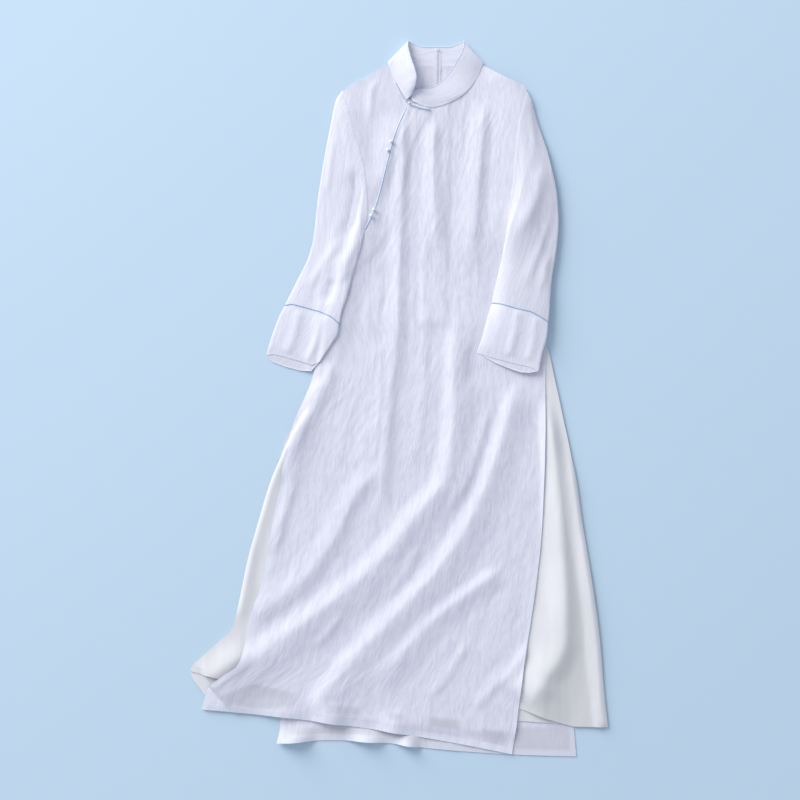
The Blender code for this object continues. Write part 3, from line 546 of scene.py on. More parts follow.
def lining_swell(x, y):
    """Height of the lining's folds."""
    return relief(x, y, LINING_LONG_FOLD, LONG_FOLD_SPREAD) + relief(x, y, LINING_FOLDS)


def front_height(x, y):
    """Middle of the front, without its small creases. Left of the skirt its edge curls down."""
    on_lining, on_underlap = over_lining(x, y), over_underlap(x, y)
    swell = lining_swell(x, y)
    base = FLOOR + LAYER + 2 * LAYER * on_lining + LAYER * on_underlap + LAYER * over_zip(x, y)
    base = base + on_lining * OVER_LINING_FOLDS * (swell + smooth(swell / 1.5))
    curl = smooth(1 - (x - x_of(y, left_ends(BACK_ROWS))) / 12)
    curl = curl * smooth((y + 20) / 30) * on_lining * (1 - on_underlap)
    folds = relief(x, y, FRONT_FOLDS, FRONT_FOLD_SPREAD) * (1 - under_sleeves(x, y))
    folds = folds * smooth(apart(x, y, OPENING_LINE) / 12)
    swells = side_swell(x, y) + opening_swell(x, y)
    lift = hem_lift(x, y - y_of(x, FRONT_HEM), FRONT_HEM_LIFTS, FRONT_HEM_REACH)
    return base - 2 * LAYER * curl + folds + swells + lift


def shoulder_height(x, y):
    """Middle of the shoulder panel: plain under the front's edge, the collar and the sleeve."""
    clear = smooth((apart(x, y, SLANT_LINE) - 8) / 16) * smooth((apart(x, y, SHOULDER_TOP) - 10) / 14)
    clear = clear * smooth((x - x_of(y, SLEEVES["left"]["cap"]) - 4) / 14)
    folds = relief(x, y, SHOULDER_FOLDS) * clear
    return FLOOR + LAYER + folds + side_swell(x, y) + opening_swell(x, y)


def body_height(x, y):
    """Middle of the body's upper layer: the front, or the shoulder panel left of the opening."""
    on_front = smooth((nearest(x, y, SLANT_LINE)[0] + 3) / 6)
    return front_height(x, y) * on_front + shoulder_height(x, y) * (1 - on_front)


# %% [markdown]
# ## Shader sums as Python sums
#
# A node tree is hard to read when each sum is a node. This small class wraps a socket, so that a plain
# Python expression adds the Math nodes. The method node() adds any other node with its settings first, and
# the last four methods name the nodes that the finishes use most.

# %% The socket class
class Wire:
    """A socket of a material, with the usual signs for sums."""

    def __init__(self, tree, socket):
        self.tree = tree
        self.socket = socket

    def node(self, kind, settings=None, output=0, **values):
        """Adds a node and returns one of its outputs. A value's key is the socket's name, or a number
        after an underscore for sockets that share one name."""
        made = self.tree.nodes.new(kind)
        for name, value in (settings or {}).items():
            setattr(made, name, value)
        for name, value in values.items():
            key = int(name[1:]) if name[0] == "_" else name.replace("_", " ")
            if isinstance(value, Wire):
                self.tree.links.new(value.socket, made.inputs[key])
            else:
                made.inputs[key].default_value = value
        return Wire(self.tree, made.outputs[output])

    def maths(self, operation, first, second=0.0):
        return self.node("ShaderNodeMath", {"operation": operation}, _0=first, _1=second)

    def __add__(self, other):
        return self.maths("ADD", self, other)

    def __sub__(self, other):
        return self.maths("SUBTRACT", self, other)

    def __rsub__(self, other):
        return self.maths("SUBTRACT", other, self)

    def __mul__(self, other):
        return self.maths("MULTIPLY", self, other)

    __radd__ = __add__
    __rmul__ = __mul__

    def step(self, low, high):
        """Eases from 0 at low to 1 at high."""
        kind = {"interpolation_type": "SMOOTHSTEP"}
        return self.node("ShaderNodeMapRange", kind, Value=self, From_Min=low, From_Max=high)

    def mix(self, dark, light):
        """A colour between two, by this value."""
        return self.node("ShaderNodeMix", {"data_type": "RGBA"}, 2, Factor=self, _6=dark, _7=light)

    def noise(self, scale, turn=0.0, **values):
        """Cloudy values at this place, with so many cells a metre each way, and the cells turned."""
        turned = (0.0, 0.0, turn)
        cells = self.node("ShaderNodeMapping", None, 0, Vector=self, Rotation=turned, Scale=scale)
        return self.node("ShaderNodeTexNoise", None, 0, Vector=cells, Scale=1.0, **values)

    def bump(self, distance, strength=1.0):
        """Slopes from this height."""
        return self.node("ShaderNodeBump", None, 0, Height=self, Strength=strength, Distance=distance)


def new_material(name, roughness, **constants):
    """A material with its shader, and a wire to start from."""
    material = bpy.data.materials.new(name)
    material.use_nodes = True
    shader = material.node_tree.nodes["Principled BSDF"]
    for key, value in {"Roughness": roughness, **constants}.items():
        shader.inputs[key.replace("_", " ")].default_value = value
    return material, shader, Wire(material.node_tree, None)


def into(shader, socket, wire):
    """Links a wire into a socket of the shader."""
    wire.tree.links.new(wire.socket, shader.inputs[socket])


def attribute(start, name):
    """A number that the points of a sheet carry."""
    return start.node("ShaderNodeAttribute", {"attribute_name": name}, 2)


def place(start):
    """Object coordinates, in metres."""
    return start.node("ShaderNodeTexCoord", None, 3)


# %% [markdown]
# ## The outer cloth
#
# Washed linen is almost white with a cool tint. What makes it linen is its surface: creases along the
# length, threads that are thicker here and there, and a plain weave. The hollows of the creases are painted
# a darker shade. One layer of it is sheer, so it is painted darker and bluer where nothing white lies under
# it: partly sheer cloth, partly painted shade. It is brighter where a hem is turned, and the sleeves, the
# cuffs and the collar are painted brighter as painted light. Each sheet carries its cloth coordinates as a
# UV
# map in metres, and three attributes: how much painted see-through shade it has, how much it is turned or
# given painted light, and how far a point is from its hemmed edge. The creases come in patches, so no field
# is regular.

# %% Outer cloth material
LINEN = (0.83, 0.83, 0.91, 1.0)
LINEN_SHEER_SHADE = (0.66, 0.66, 0.72, 1.0)
LINEN_CREASE_SHADE = (0.76, 0.76, 0.86, 1.0)
LINEN_TURNED_AND_LIT = (0.86, 0.90, 0.98, 1.0)
THREAD = 0.0011
HEM_TURN = 0.0125
CREASE_DEPTH = 0.0008


def weave(start, uv):
    """Height of a plain weave, 0 to 1, from crossed waves."""
    turn = 2 * math.pi / THREAD
    across, along = [start.node("ShaderNodeSeparateXYZ", None, axis, _0=uv) for axis in (0, 1)]
    return 0.5 + 0.25 * start.maths("SINE", across * turn) + 0.25 * start.maths("SINE", along * turn)


def linen_material():
    """The outer cloth."""
    material, shader, start = new_material("linen", 0.85, Sheen_Weight=0.15, Specular_IOR_Level=0.25)
    uv = start.node("ShaderNodeUVMap", {"uv_map": "cloth"})
    leaning = uv.noise((160.0, 36.0, 1.0), -0.20, Detail=2.0, Roughness=0.5, Distortion=0.9)
    upright = uv.noise((100.0, 22.0, 1.0), 0.12, Detail=2.0, Roughness=0.5, Distortion=1.5)
    patches = uv.noise((24.0, 11.0, 1.0), Detail=1.0).step(0.3, 0.7)
    slub = uv.noise((900.0, 40.0, 1.0), Detail=1.0)
    crease = leaning * 0.5 + upright * 0.5
    from_stitch = start.maths("ABSOLUTE", attribute(start, "from_edge") - HEM_TURN)
    seam_line = 1 - from_stitch.step(0.0003, 0.0010)
    # Painted shade: the hollows of the creases take a darker colour.
    tone = crease.step(0.35, 0.60).mix(LINEN_CREASE_SHADE, LINEN)
    # Painted see-through shade: partly sheer cloth, partly painted shade.
    tone = attribute(start, "sheer_shade").mix(tone, LINEN_SHEER_SHADE)
    # A turned hem is brighter; a sheet given painted light is painted brighter all over.
    into(shader, "Base Color", (attribute(start, "turned") * 0.5).mix(tone, LINEN_TURNED_AND_LIT))
    height = crease * (0.5 + 0.8 * patches) + slub * 0.06 + weave(start, uv) * 0.02 - seam_line * 0.12
    into(shader, "Normal", height.bump(CREASE_DEPTH))
    return material


# %% [markdown]
# ## The lining, the piping, the tape and the pearls
#
# The lining is a warm white satin: smoother and glossier than the linen, with a few soft ripples whose
# hollows are painted a darker shade. Right of its long fold it is painted greyer: partly a single layer,
# partly the fold's painted shade. The piping is a pale blue satin bias strip. It is bluest at the cuffs and
# almost white at the collar.

# %% Other materials
LINING_IVORY = (0.87, 0.87, 0.88, 1.0)
LINING_SHADE = (0.82, 0.82, 0.825, 1.0)
LINING_SINGLE_SHADE = (0.73, 0.725, 0.70, 1.0)


def satin_material():
    """A smooth satin with soft ripples along the cloth. The ripples' hollows, and the shaded side of the
    long fold, are painted darker as shade.
    """
    material, shader, start = new_material("lining_ivory", 0.42, Sheen_Weight=0.1, Specular_IOR_Level=0.35)
    ripple = place(start).noise((34.0, 9.0, 34.0), Detail=2.0, Roughness=0.45)
    grain = place(start).noise((1600.0, 1600.0, 1600.0), Detail=1.0)
    tone = ripple.step(0.3, 0.7).mix(LINING_SHADE, LINING_IVORY)
    # Painted shade: the shaded side of the long fold, partly a single layer, takes a greyer colour.
    into(shader, "Base Color", attribute(start, "sheer_shade").mix(tone, LINING_SINGLE_SHADE))
    into(shader, "Normal", (ripple + grain * 0.01).bump(0.0016))
    return material


def cord_material(name, colour, shade):
    """A satin strip wound over a cord, with small wrinkles."""
    material, shader, start = new_material(name, 0.5, Sheen_Weight=0.2)
    wrinkle = place(start).noise((420.0, 420.0, 420.0), Detail=2.0)
    # Painted shade: the hollows of the wrinkles take the shade colour.
    into(shader, "Base Color", wrinkle.step(0.3, 0.7).mix((*shade, 1.0), (*colour, 1.0)))
    into(shader, "Normal", wrinkle.bump(0.0004, 0.6))
    return material


def pearl_material():
    """A glossy round bead with a faint cloudy lustre."""
    material, shader, start = new_material("pearl_lustre", 0.16, Coat_Weight=0.6, Coat_Roughness=0.08)
    cloud = place(start).noise((260.0, 260.0, 260.0), Detail=2.0).step(0.3, 0.7)
    into(shader, "Base Color", cloud.mix((0.82, 0.84, 0.86, 1.0), (0.95, 0.96, 0.95, 1.0)))
    return material


def tape_material():
    """A closely woven tape with fine slanting ribs."""
    material, shader, start = new_material("zip_weave", 0.75)
    bands = {"wave_type": "BANDS", "bands_direction": "DIAGONAL"}
    ribs = start.node("ShaderNodeTexWave", bands, 1, Vector=place(start), Scale=240.0, Distortion=0.6)
    into(shader, "Base Color", ribs.mix((0.76, 0.77, 0.84, 1.0), (0.86, 0.87, 0.94, 1.0)))
    into(shader, "Normal", ribs.bump(0.0003, 0.5))
    return material


LINEN_MATERIAL = linen_material()
SATIN_MATERIAL = satin_material()
CUFF_BLUE = cord_material("piping_blue", (0.47, 0.60, 0.77), (0.36, 0.48, 0.66))
OPENING_BLUE = cord_material("piping_pale_blue", (0.60, 0.74, 0.90), (0.48, 0.61, 0.79))
COLLAR_BLUE = cord_material("piping_white_blue", (0.72, 0.80, 0.92), (0.62, 0.70, 0.84))
TAPE_MATERIAL = tape_material()
TOOTH_MATERIAL = cord_material("zip_nylon", (0.88, 0.89, 0.95), (0.80, 0.81, 0.88))
PEARL_MATERIAL = pearl_material()
print("materials:", len(bpy.data.materials))

# %% [markdown]
# ## From a grid of points to a sheet of cloth
#
# A sheet is a grid: rows run down the panel and columns across it. Its UV map holds where each point is on
# the flat cloth, so the weave follows the cut. Solidify then gives it the thickness of the cloth, and the
# cut edges are kept sharp, or smooth shading would draw a bright line along them. A panel's grid says how
# many cells it has across and how long a cell may be.

# %% Grid helpers
BACK_GRID, SHOULDER_GRID, FRONT_GRID = (44, 7), (34, 4), (124, 4.6)
LINING_BACK_GRID, LINING_FRONT_GRID = (70, 10), (130, 6)
SHARP_EDGE = math.radians(50)
NO_EDGE = 100.0


def panel(rows, across, cell, top=None, top_reach=150.0, bottom=None, bottom_reach=110.0):
    """Plan of a panel, [down, across, x and y], through its rows of left and right ends, with so many cells
    across and no cell longer than the given length. Its first and last row are bent to the lines top and
    bottom, which fades so far into the panel."""
    run = np.linalg.norm(np.diff(np.array(rows, float)[:, :4], axis=0), axis=1) / np.sqrt(2)
    lines = curve_through(rows, np.maximum(np.ceil(run / cell), 1).astype(int))
    u = np.linspace(0.0, 1.0, across + 1)[None, :, None]
    plan = lines[:, None, 0:2] * (1 - u) + lines[:, None, 2:4] * u
    plan[..., 1:2] = plan[..., 1:2] - 4 * lines[:, None, 4:5] * u * (1 - u)
    walked = walked_along(plan[:, across // 2])
    ends = (top, walked, top_reach, 0), (bottom, walked[-1] - walked, bottom_reach, -1)
    for line, from_end, reach, row in ends:
        if line is not None:
            wanted = points_at(u[0, :, 0], line, 400)
            plan = plan + smooth(1 - from_end / reach)[:, None, None] * (wanted - plan[row])[None]
    return plan


def raised(plan, z):
    """A plan with its heights, [down, across, 3]."""
    return np.concatenate([plan, z[..., None]], axis=2)


def walked_grid(plan):
    """Lengths walked across and down a plan from its left and upper edges, in millimetres."""
    across = np.linalg.norm(np.diff(plan, axis=1), axis=2)
    down = np.linalg.norm(np.diff(plan, axis=0), axis=2)
    u = np.concatenate([np.zeros((plan.shape[0], 1)), np.cumsum(across, axis=1)], axis=1)
    v = np.concatenate([np.zeros((1, plan.shape[1])), np.cumsum(down, axis=0)], axis=0)
    return u, v


def cloth_coordinates(plan):
    """Flat cloth coordinates in millimetres. Lines of equal u follow the columns of the panel."""
    u, v = walked_grid(plan)
    width = 0.5 * u[:, -1:] + 0.5 * u[:, -1].mean()
    return (u / u[:, -1:] - 0.5) * width, v


def flat_area(surface):
    """Area of a grid in square metres."""
    a, b = surface[1:, :-1] - surface[:-1, :-1], surface[:-1, 1:] - surface[:-1, :-1]
    return float(np.linalg.norm(np.cross(a, b), axis=2).sum()) * MM * MM


def faces_of(rows, columns, kept):
    """Corner numbers of a grid's faces, with so many points kept in each row."""
    i, j = np.meshgrid(np.arange(rows - 1), np.arange(columns - 1), indexing="ij")
    right = (j + 1) % kept
    return np.stack([i * kept + j, (i + 1) * kept + j, (i + 1) * kept + right, i * kept + right], axis=2)


def remember(mesh, name, values):
    """Stores one number for each point."""
    values = np.asarray(values, np.float32).ravel()
    mesh.attributes.new(name, "FLOAT", "POINT").data.foreach_set("value", values)


def new_piece(name, data, material):
    """An object with its material, linked to the scene and alone selected."""
    piece = bpy.data.objects.new(name, data)
    bpy.context.scene.collection.objects.link(piece)
    data.materials.append(material)
    bpy.ops.object.select_all(action="DESELECT")
    bpy.context.view_layer.objects.active = piece
    piece.select_set(True)
    return piece


def sheet(
    node, finish, surface, material, cloth,
    thick=CLOTH, closed=False, painted_light=None, sheer_shade=None, from_edge=None,
):
    """A sheet of cloth on a grid of points, which stands for a CAD node and is named after it and its
    finish. A closed sheet is a tube, whose last column is its first."""
    rows, columns = surface.shape[:2]
    kept = columns - 1 if closed else columns
    mesh = bpy.data.meshes.new(node + finish)
    points = surface[:, :kept].reshape(-1, 3) * MM
    mesh.from_pydata(points.tolist(), [], faces_of(rows, columns, kept).reshape(-1, 4).tolist())
    wrap = faces_of(rows, columns, columns).ravel()
    layout = np.stack([cloth[0].ravel()[wrap], -cloth[1].ravel()[wrap]], axis=1) * MM
    mesh.uv_layers.new(name="cloth").data.foreach_set("uv", layout.astype(np.float32).ravel())
    plain = np.zeros((rows, kept))
    edge = plain + NO_EDGE * MM if from_edge is None else from_edge[:, :kept] * MM
    # Painted see-through shade darkens the sheet: partly sheer cloth, partly painted shade.
    remember(mesh, "sheer_shade", plain if sheer_shade is None else plain + sheer_shade)
    remember(mesh, "from_edge", edge)
    # A turned hem is brighter; a sheet given painted light is painted brighter all over.
    remember(mesh, "turned", smooth((HEM_TURN - edge) / 0.0012) if painted_light is None else plain + painted_light)
    piece = new_piece(node + finish, mesh, material)
    mesh.shade_smooth()
    wall = piece.modifiers.new("wall", "SOLIDIFY")
    wall.thickness = thick * MM
    wall.offset = 0.0
    bpy.ops.object.modifier_apply(modifier="wall")
    mesh.set_sharp_from_angle(angle=SHARP_EDGE)
    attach(piece, "root")
    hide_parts(node)
    area = flat_area(surface)
    width, length = (float(size) * MM for size in np.ptp(surface[..., :2].reshape(-1, 2), axis=0))
    if closed or area > width * length:
        width = width * max(2.0, 1.02 * area / (width * length))
    print(piece.name, "faces", len(mesh.polygons), "area %.3f m2" % area)


# %% [markdown]
# ## The back
#
# The back lies on the surface. It is two halves with a seam in the middle, and only its neck and its hem
# show. The hem was put down loosely: it lifts off the surface in three places.

# %% Make the back
BACK_NECK = [(-52, 582), (-16, 601), (10, 599), (120, 599), (146, 602), (182, 582)]
BACK_SLIT_Y = -107


def back_height(x, y, u, v):
    """Middle of the back: flat, with a lifted hem and small creases where it shows."""
    hem = y_of(x, BACK_HEM)
    lift = hem_lift(x, y - hem, BACK_HEM_LIFTS, BACK_HEM_REACH)
    shows = smooth((hem + 60 - y) / 30)
    neck = smooth(1 - (y_of(x, BACK_NECK) - y) / 9)
    return ON_FLOOR + lift + BACK_CREASES * shows * crinkle(u, v, BACK_SEED) + 0.85 * neck


def make_back():
    half_gap = GAP / 2
    left_rows = [(lx, ly, seam_x(y) - half_gap, y, 0) for lx, ly, _, _, y in BACK_ROWS]
    right_rows = [(seam_x(y) + half_gap, y, rx, ry, 0) for _, _, rx, ry, y in BACK_ROWS]
    left_rows[-1] = (*left_rows[-1][:4], BACK_SAG_LEFT)
    right_rows[-1] = (*right_rows[-1][:4], BACK_SAG_RIGHT)
    top_left = [*BACK_TOP_LEFT[:-1], (SEAM_X_AT_NECK - half_gap, NECK_Y)]
    top_right = [(SEAM_X_AT_NECK + half_gap, NECK_Y), *BACK_TOP_RIGHT[1:]]
    for node, rows, top in (("back_left", left_rows, top_left), ("back_right", right_rows, top_right)):
        plan = panel(rows, *BACK_GRID, top, 170)
        u, v = cloth_coordinates(plan)
        walked_u, walked_v = walked_grid(plan)
        side = walked_u if node == "back_left" else walked_u[:, -1:] - walked_u
        from_side = np.where(plan[..., 1] < BACK_SLIT_Y, side, NO_EDGE) + 3
        surface = raised(plan, back_height(plan[..., 0], plan[..., 1], u, v))
        # The back's hem strip gets painted see-through shade: partly sheer cloth, partly painted shade.
        sheet(
            node, "_cloth", surface, LINEN_MATERIAL, (u, v),
            sheer_shade=0.8 * smooth((-588 - plan[..., 1]) / 6),
            from_edge=np.minimum(walked_v[-1:] - walked_v, from_side),
        )


make_back()

# %% [markdown]
# ## The lining
#
# The lining hangs loose inside the skirt and shows in both side slits. It is wider than the skirt, so it
# stands in one long soft fold beside the right slit and opens like a mouth at the lower left. Right of that
# fold it is a single layer, painted greyer there as the fold's shade, and its right edge is turned.

# %% Make the lining
LINING_TURN = 26.0
SINGLE_SHADE = 0.7


def make_lining():
    rows = [*LINING_ROWS, *LINING_BACK_ENDS]
    plan = panel(rows, *LINING_BACK_GRID)
    flat = np.full(plan.shape[:2], FLOOR + LAYER - 0.1)
    coordinates = cloth_coordinates(plan)
    sheet("lining_back", "_cloth", raised(plan, flat), SATIN_MATERIAL, coordinates)

    rows = [*LINING_ROWS, *LINING_FRONT_ENDS]
    plan = panel(rows, *LINING_FRONT_GRID, bottom=LINING_FRONT_HEM)
    x, y = plan[..., 0], plan[..., 1]
    # Painted shade right of the long fold: its shaded side, partly a single layer, is painted greyer.
    beyond, walked, _ = nearest(x, y, smooth_line(LINING_LONG_FOLD[0][-1], 60))
    turn = x_of(y, right_ends(rows)) - LINING_TURN
    single_layer_shade = smooth(beyond / 10) * smooth((turn - x) / 4) * smooth(walked / 90)
    sheet(
        "lining_front", "_cloth", raised(plan, FLOOR + 2 * LAYER + lining_swell(x, y)), SATIN_MATERIAL,
        cloth_coordinates(plan), sheer_shade=SINGLE_SHADE * single_layer_shade,
    )


make_lining()

# %% [markdown]
# ## The front and the shoulder panel
#
# The front is the largest sheet. Its left edge slants from the neck to the side seam and covers the edge of
# the shoulder panel. Below the hip its edges are free. Near the hem it is painted darker in patches where
# nothing white is under it, partly as sheer cloth and partly as painted shade. Each of these patches has a
# left and a right x, the y of its two upper corners, the y of its two lower corners, and how strong its
# painted shade is.

# %% Make the front and the shoulder panel
WAIST_Y = 150.0
FAN_STRETCH, FAN_SHIFT = 1.2, 14
LEFT_SLIT_Y, RIGHT_SLIT_Y = -95.0, 60.0
SHEER_SHADE_PATCHES = [
    (-322, -252, -534, -508, -545, -564, 0.75), (-264, -180, -511, -532, -564, -556, 0.75),
    (-130, -64, -548, -556, -568, -574, 0.8), (-20, 16, -564, -568, -580, -583, 0.8),
    (56, 115, -573, -578, -592, -599, 1.0), (151, 198, -593, -600, -622, -630, 0.8),
]
FRONT_LEFT, FRONT_RIGHT = left_ends(FRONT_ROWS[10:]), right_ends(FRONT_ROWS[10:])


def front_grain(x, y):
    """Cloth coordinates of the front: straight above the waist, fanned out below it like the skirt."""
    left, right = x_of(y, FRONT_LEFT), x_of(y, FRONT_RIGHT)
    left_waist, right_waist = float(x_of(WAIST_Y, FRONT_LEFT)), float(x_of(WAIST_Y, FRONT_RIGHT))
    fanned = left_waist + (x - left) / (right - left) * (right_waist - left_waist)
    below = smooth((WAIST_Y - y) / 80)
    return x * (1 - below) + (fanned * FAN_STRETCH - FAN_SHIFT) * below, -y


def beside_seams(x, y):
    """1 on open cloth, easing to 0 at the armholes, where a seam holds the cloth flat."""
    calm = 1 - under_sleeves(x, y)
    for data in SLEEVES.values():
        calm = calm * smooth((apart(x, y, data["cap"]) - 1) / 7)
    return calm


def sheer_shade_patches(x, y):
    """Painted see-through shade of the front near its hem: partly sheer cloth, partly painted shade."""
    sheer_shade = np.zeros(np.shape(x))
    for left, right, upper_left, upper_right, lower_left, lower_right, strength in SHEER_SHADE_PATCHES:
        share = (x - left) / (right - left)
        upper = upper_left + (upper_right - upper_left) * share
        lower = lower_left + (lower_right - lower_left) * share
        inside = smooth((x - left + 5) / 10) * smooth((right - x) / 14)
        inside = inside * smooth((upper - y + 4) / 8) * smooth((y - lower) / 8)
        sheer_shade = np.maximum(sheer_shade, strength * inside)
    return sheer_shade


def make_front():
    plan = panel(SHOULDER_ROWS, *SHOULDER_GRID, SHOULDER_TOP)
    x, y = plan[..., 0], plan[..., 1]
    creases = SHOULDER_CREASES * crinkle(x, y, SHOULDER_SEED) * beside_seams(x, y)
    surface = raised(plan, shoulder_height(x, y) + creases)
    sheet("shoulder_panel", "_cloth", surface, LINEN_MATERIAL, (x, -y))

    plan = panel(FRONT_ROWS, *FRONT_GRID, FRONT_NECKLINE)
    x, y = plan[..., 0], plan[..., 1]
    u, v = front_grain(x, y)
    walked_u, walked_v = walked_grid(plan)
    from_left = np.where(y < LEFT_SLIT_Y, walked_u, NO_EDGE)
    from_right = np.where(y < RIGHT_SLIT_Y, walked_u[:, -1:] - walked_u, NO_EDGE) + 4
    creases = FRONT_CREASES * crinkle(u, v, FRONT_SEED) * beside_seams(x, y)
    surface = raised(plan, front_height(x, y) + creases)
    # The front gets painted see-through shade in patches near its hem.
    sheet(
        "front", "_cloth", surface, LINEN_MATERIAL, (u, v),
        sheer_shade=sheer_shade_patches(x, y),
        from_edge=np.minimum(walked_v[-1:] - walked_v, np.minimum(from_left, from_right)),
    )


make_front()

# %% [markdown]
# ## The sleeves and the cuffs
#
# A sleeve lies flat with a soft roll at both edges. Each of its rows is one closed ring: over the top, then
# back underneath. It is plain where it lies on the surface and rises where it crosses the body. It stays as
# high as on the body for a margin beside it, then comes down over a ramp. At the armhole the upper layer is
# sewn down, and its edge sinks into the body.

# %% Tube helpers
TUBE_CELLS, UNDERARM_CELLS = 30, 6
ROLL = 0.12
PUFF_STATIONS = [0.0, 0.2, 1.0, 1.5, 2.0]
SIDE_MARGIN, SIDE_RAMP = 7.0, 14.0
SEAM_HALF = PIPING_RADIUS + 0.2
SEWN_LIFT = (-0.3, 0.3)
LOWER_LIFT = 0.45
BESIDE_ARMHOLE, UNDERARM_END = 8.0, 266.0


def edge_shares():
    """Shares of the way across a flattened tube, closer together at both edges."""
    angle = np.linspace(0.0, np.pi, TUBE_CELLS + 1)
    return 0.35 * angle / np.pi + 0.65 * (1 - np.cos(angle)) / 2


def rounded(t, outer, inner):
    """0 at both edges and 1 between them, rounded over these shares of the way across."""
    return np.sin(np.pi / 2 * np.clip(t / outer, 0, 1)) * np.sin(np.pi / 2 * np.clip((1 - t) / inner, 0, 1))


def across_line(line):
    """Points across a flattened tube, along a line."""
    return points_at(edge_shares(), line, 200)


def patch(start, end, first, last, down):
    """A plan between four lines: start and end are points across, first and last run down."""
    s = np.linspace(0.0, 1.0, down + 1)[:, None, None]
    t = edge_shares()[None, :, None]
    begin, finish = start[None], end[None]
    left = smooth_line(first, down + 1)[:, None]
    right = smooth_line(last, down + 1)[:, None]
    corners = (1 - s) * ((1 - t) * begin[:, :1] + t * begin[:, -1:])
    corners = corners + s * ((1 - t) * finish[:, :1] + t * finish[:, -1:])
    return (1 - s) * begin + s * finish + (1 - t) * left + t * right - corners


def shifted(line, towards):
    """A line moved by half a seam's width towards a point."""
    way = np.array(towards, float) - line
    return line + SEAM_HALF * way / np.linalg.norm(way, axis=1)[:, None]


def body_share(x, y, side, also_armhole):
    """1 where a sleeve lies on the body, easing to 0 on the floor beside it."""
    edge = left_ends(BACK_ROWS) if side == "left" else right_ends(BACK_ROWS)
    inside = SLEEVES[side]["sign"] * (x - x_of(y, edge)) < 0
    away = apart(x, y, edge if also_armhole else edge[5:])
    return np.where(inside, 1.0, smooth(1 - (away - SIDE_MARGIN) / SIDE_RAMP))


def under_layer(x, y, side):
    """Middle of a sleeve's lower layer."""
    share = body_share(x, y, side, False)
    return ON_FLOOR + (body_height(x, y) + LOWER_LIFT - FLOOR) * share


def upper_layer(x, y, side, puff, rest, roll):
    """Middle of a sleeve's upper layer. Where rest is 1 it is sewn down on the body, its edge sunk in."""
    share = body_share(x, y, side, True)
    swell = side_swell(x, y)
    base = body_height(x, y) - swell
    lying = ON_FLOOR + (base + LOWER_LIFT - FLOOR) * share
    free = lying + EDGE_FOLD + puff + swell * (share + (1 - share) * roll)
    sewn = base + swell + SEWN_LIFT[0] + (SEWN_LIFT[1] - SEWN_LIFT[0]) * smooth((1 - rest) / 0.06)
    return free * (1 - rest) + sewn * rest


def sleeve_ring(side, starts, ends, edges, down, stations, folds):
    """The rings of a stretch of sleeve. Starts and ends hold the points across the upper and the lower
    layer, edges the outer and the inner edge. Stations run 0 at the armhole, 1 at the cuff's seam and 2 at
    its mouth, and set how far the layers puff apart."""
    data = SLEEVES[side]
    t = edge_shares()
    station = np.linspace(*stations, down + 1)[:, None]
    rest = np.clip(1 - station / 0.2, 0.0, 1.0) * np.ones(TUBE_CELLS + 1)
    puff = np.interp(station, PUFF_STATIONS, data["puffs"]) * rounded(t, *data["puff_ramps"])
    outer_lift, inner_lift = data["lifts"]
    lift = outer_lift * (1 - t) * smooth(station / 0.4) * (1 - 0.2 * smooth(station - 1))
    lift = lift + inner_lift * t**3 * smooth((station - 0.3) / 0.4)
    roll = rounded(t, ROLL, ROLL)
    upper, lower = [patch(start, end, *edges, down) for start, end in zip(starts, ends)]

    x, y = upper[..., 0], upper[..., 1]
    z = upper_layer(x, y, side, puff, rest, roll) + roll * relief(x, y, folds) * smooth(station / 0.1)
    at_mouth = smooth((station - 1.8) / 0.2)
    z = z + lift + SLEEVE_CREASES * roll * crinkle(x + 0.3 * y, y, data["seed"]) * (1 - at_mouth)
    upper = raised(upper, z - (EDGE_FOLD - CLOTH - 0.05) * at_mouth)

    x, y = lower[..., 0], lower[..., 1]
    if stations[0] < 1:
        beside = x_of(y, data["armhole"]) + data["sign"] * BESIDE_ARMHOLE
        push = (data["sign"] * (beside - x) > 0) & (y > UNDERARM_END) & (station > 0)
        push[:, TUBE_CELLS - UNDERARM_CELLS + 1 :] = False
        lower[..., 0] = np.where(push, beside, x)
    z = under_layer(x, y, side) + lift - 1.2 * smooth(1 - station / 0.12)
    lower = raised(lower, np.maximum(z, ON_FLOOR))

    for column in (0, -1):
        lower[:, column, :2] = upper[:, column, :2]
        z = under_layer(upper[:, column, 0], upper[:, column, 1], side)
        upper[:, column, 2] = lower[:, column, 2] = z + EDGE_FOLD / 2 + lift[:, column]
    return np.concatenate([upper, lower[:, -2::-1]], axis=1)


# %% Make the sleeves, the cuffs and their piping
SLEEVE_CELLS, CUFF_CELLS = 90, 26
SEAM_OVERLAP = 2.5
ARMHOLE_GAPS = [1.5, 1.5, 1.5, 2.0, 4.0, 5.0]
# Painted highlight on the mouth's lower lip, and painted shade inside the mouth:
MOUTH_PAINTED_HIGHLIGHT, MOUTH_PAINTED_SHADE = 1.8, 0.25
CUFF_WEAVE_SHIFT = 7


def cord(node, line, radius, material, closed=False):
    """A round cord along a line of points in millimetres, as a mesh that stands for a CAD node."""
    curve = bpy.data.curves.new(node + "_satin", "CURVE")
    curve.dimensions = "3D"
    curve.bevel_depth = radius * MM
    curve.bevel_resolution = 4
    curve.use_fill_caps = not closed
    spline = curve.splines.new("POLY")
    spline.points.add(len(line) - 1)
    for point, spot in zip(spline.points, line):
        point.co = (*(spot * MM), 1.0)
    spline.use_cyclic_u = closed
    new_piece(node + "_satin", curve, material)
    bpy.ops.object.convert(target="MESH")
    piece = bpy.context.view_layer.objects.active
    piece.data.shade_smooth()
    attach(piece, "root")
    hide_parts(node)


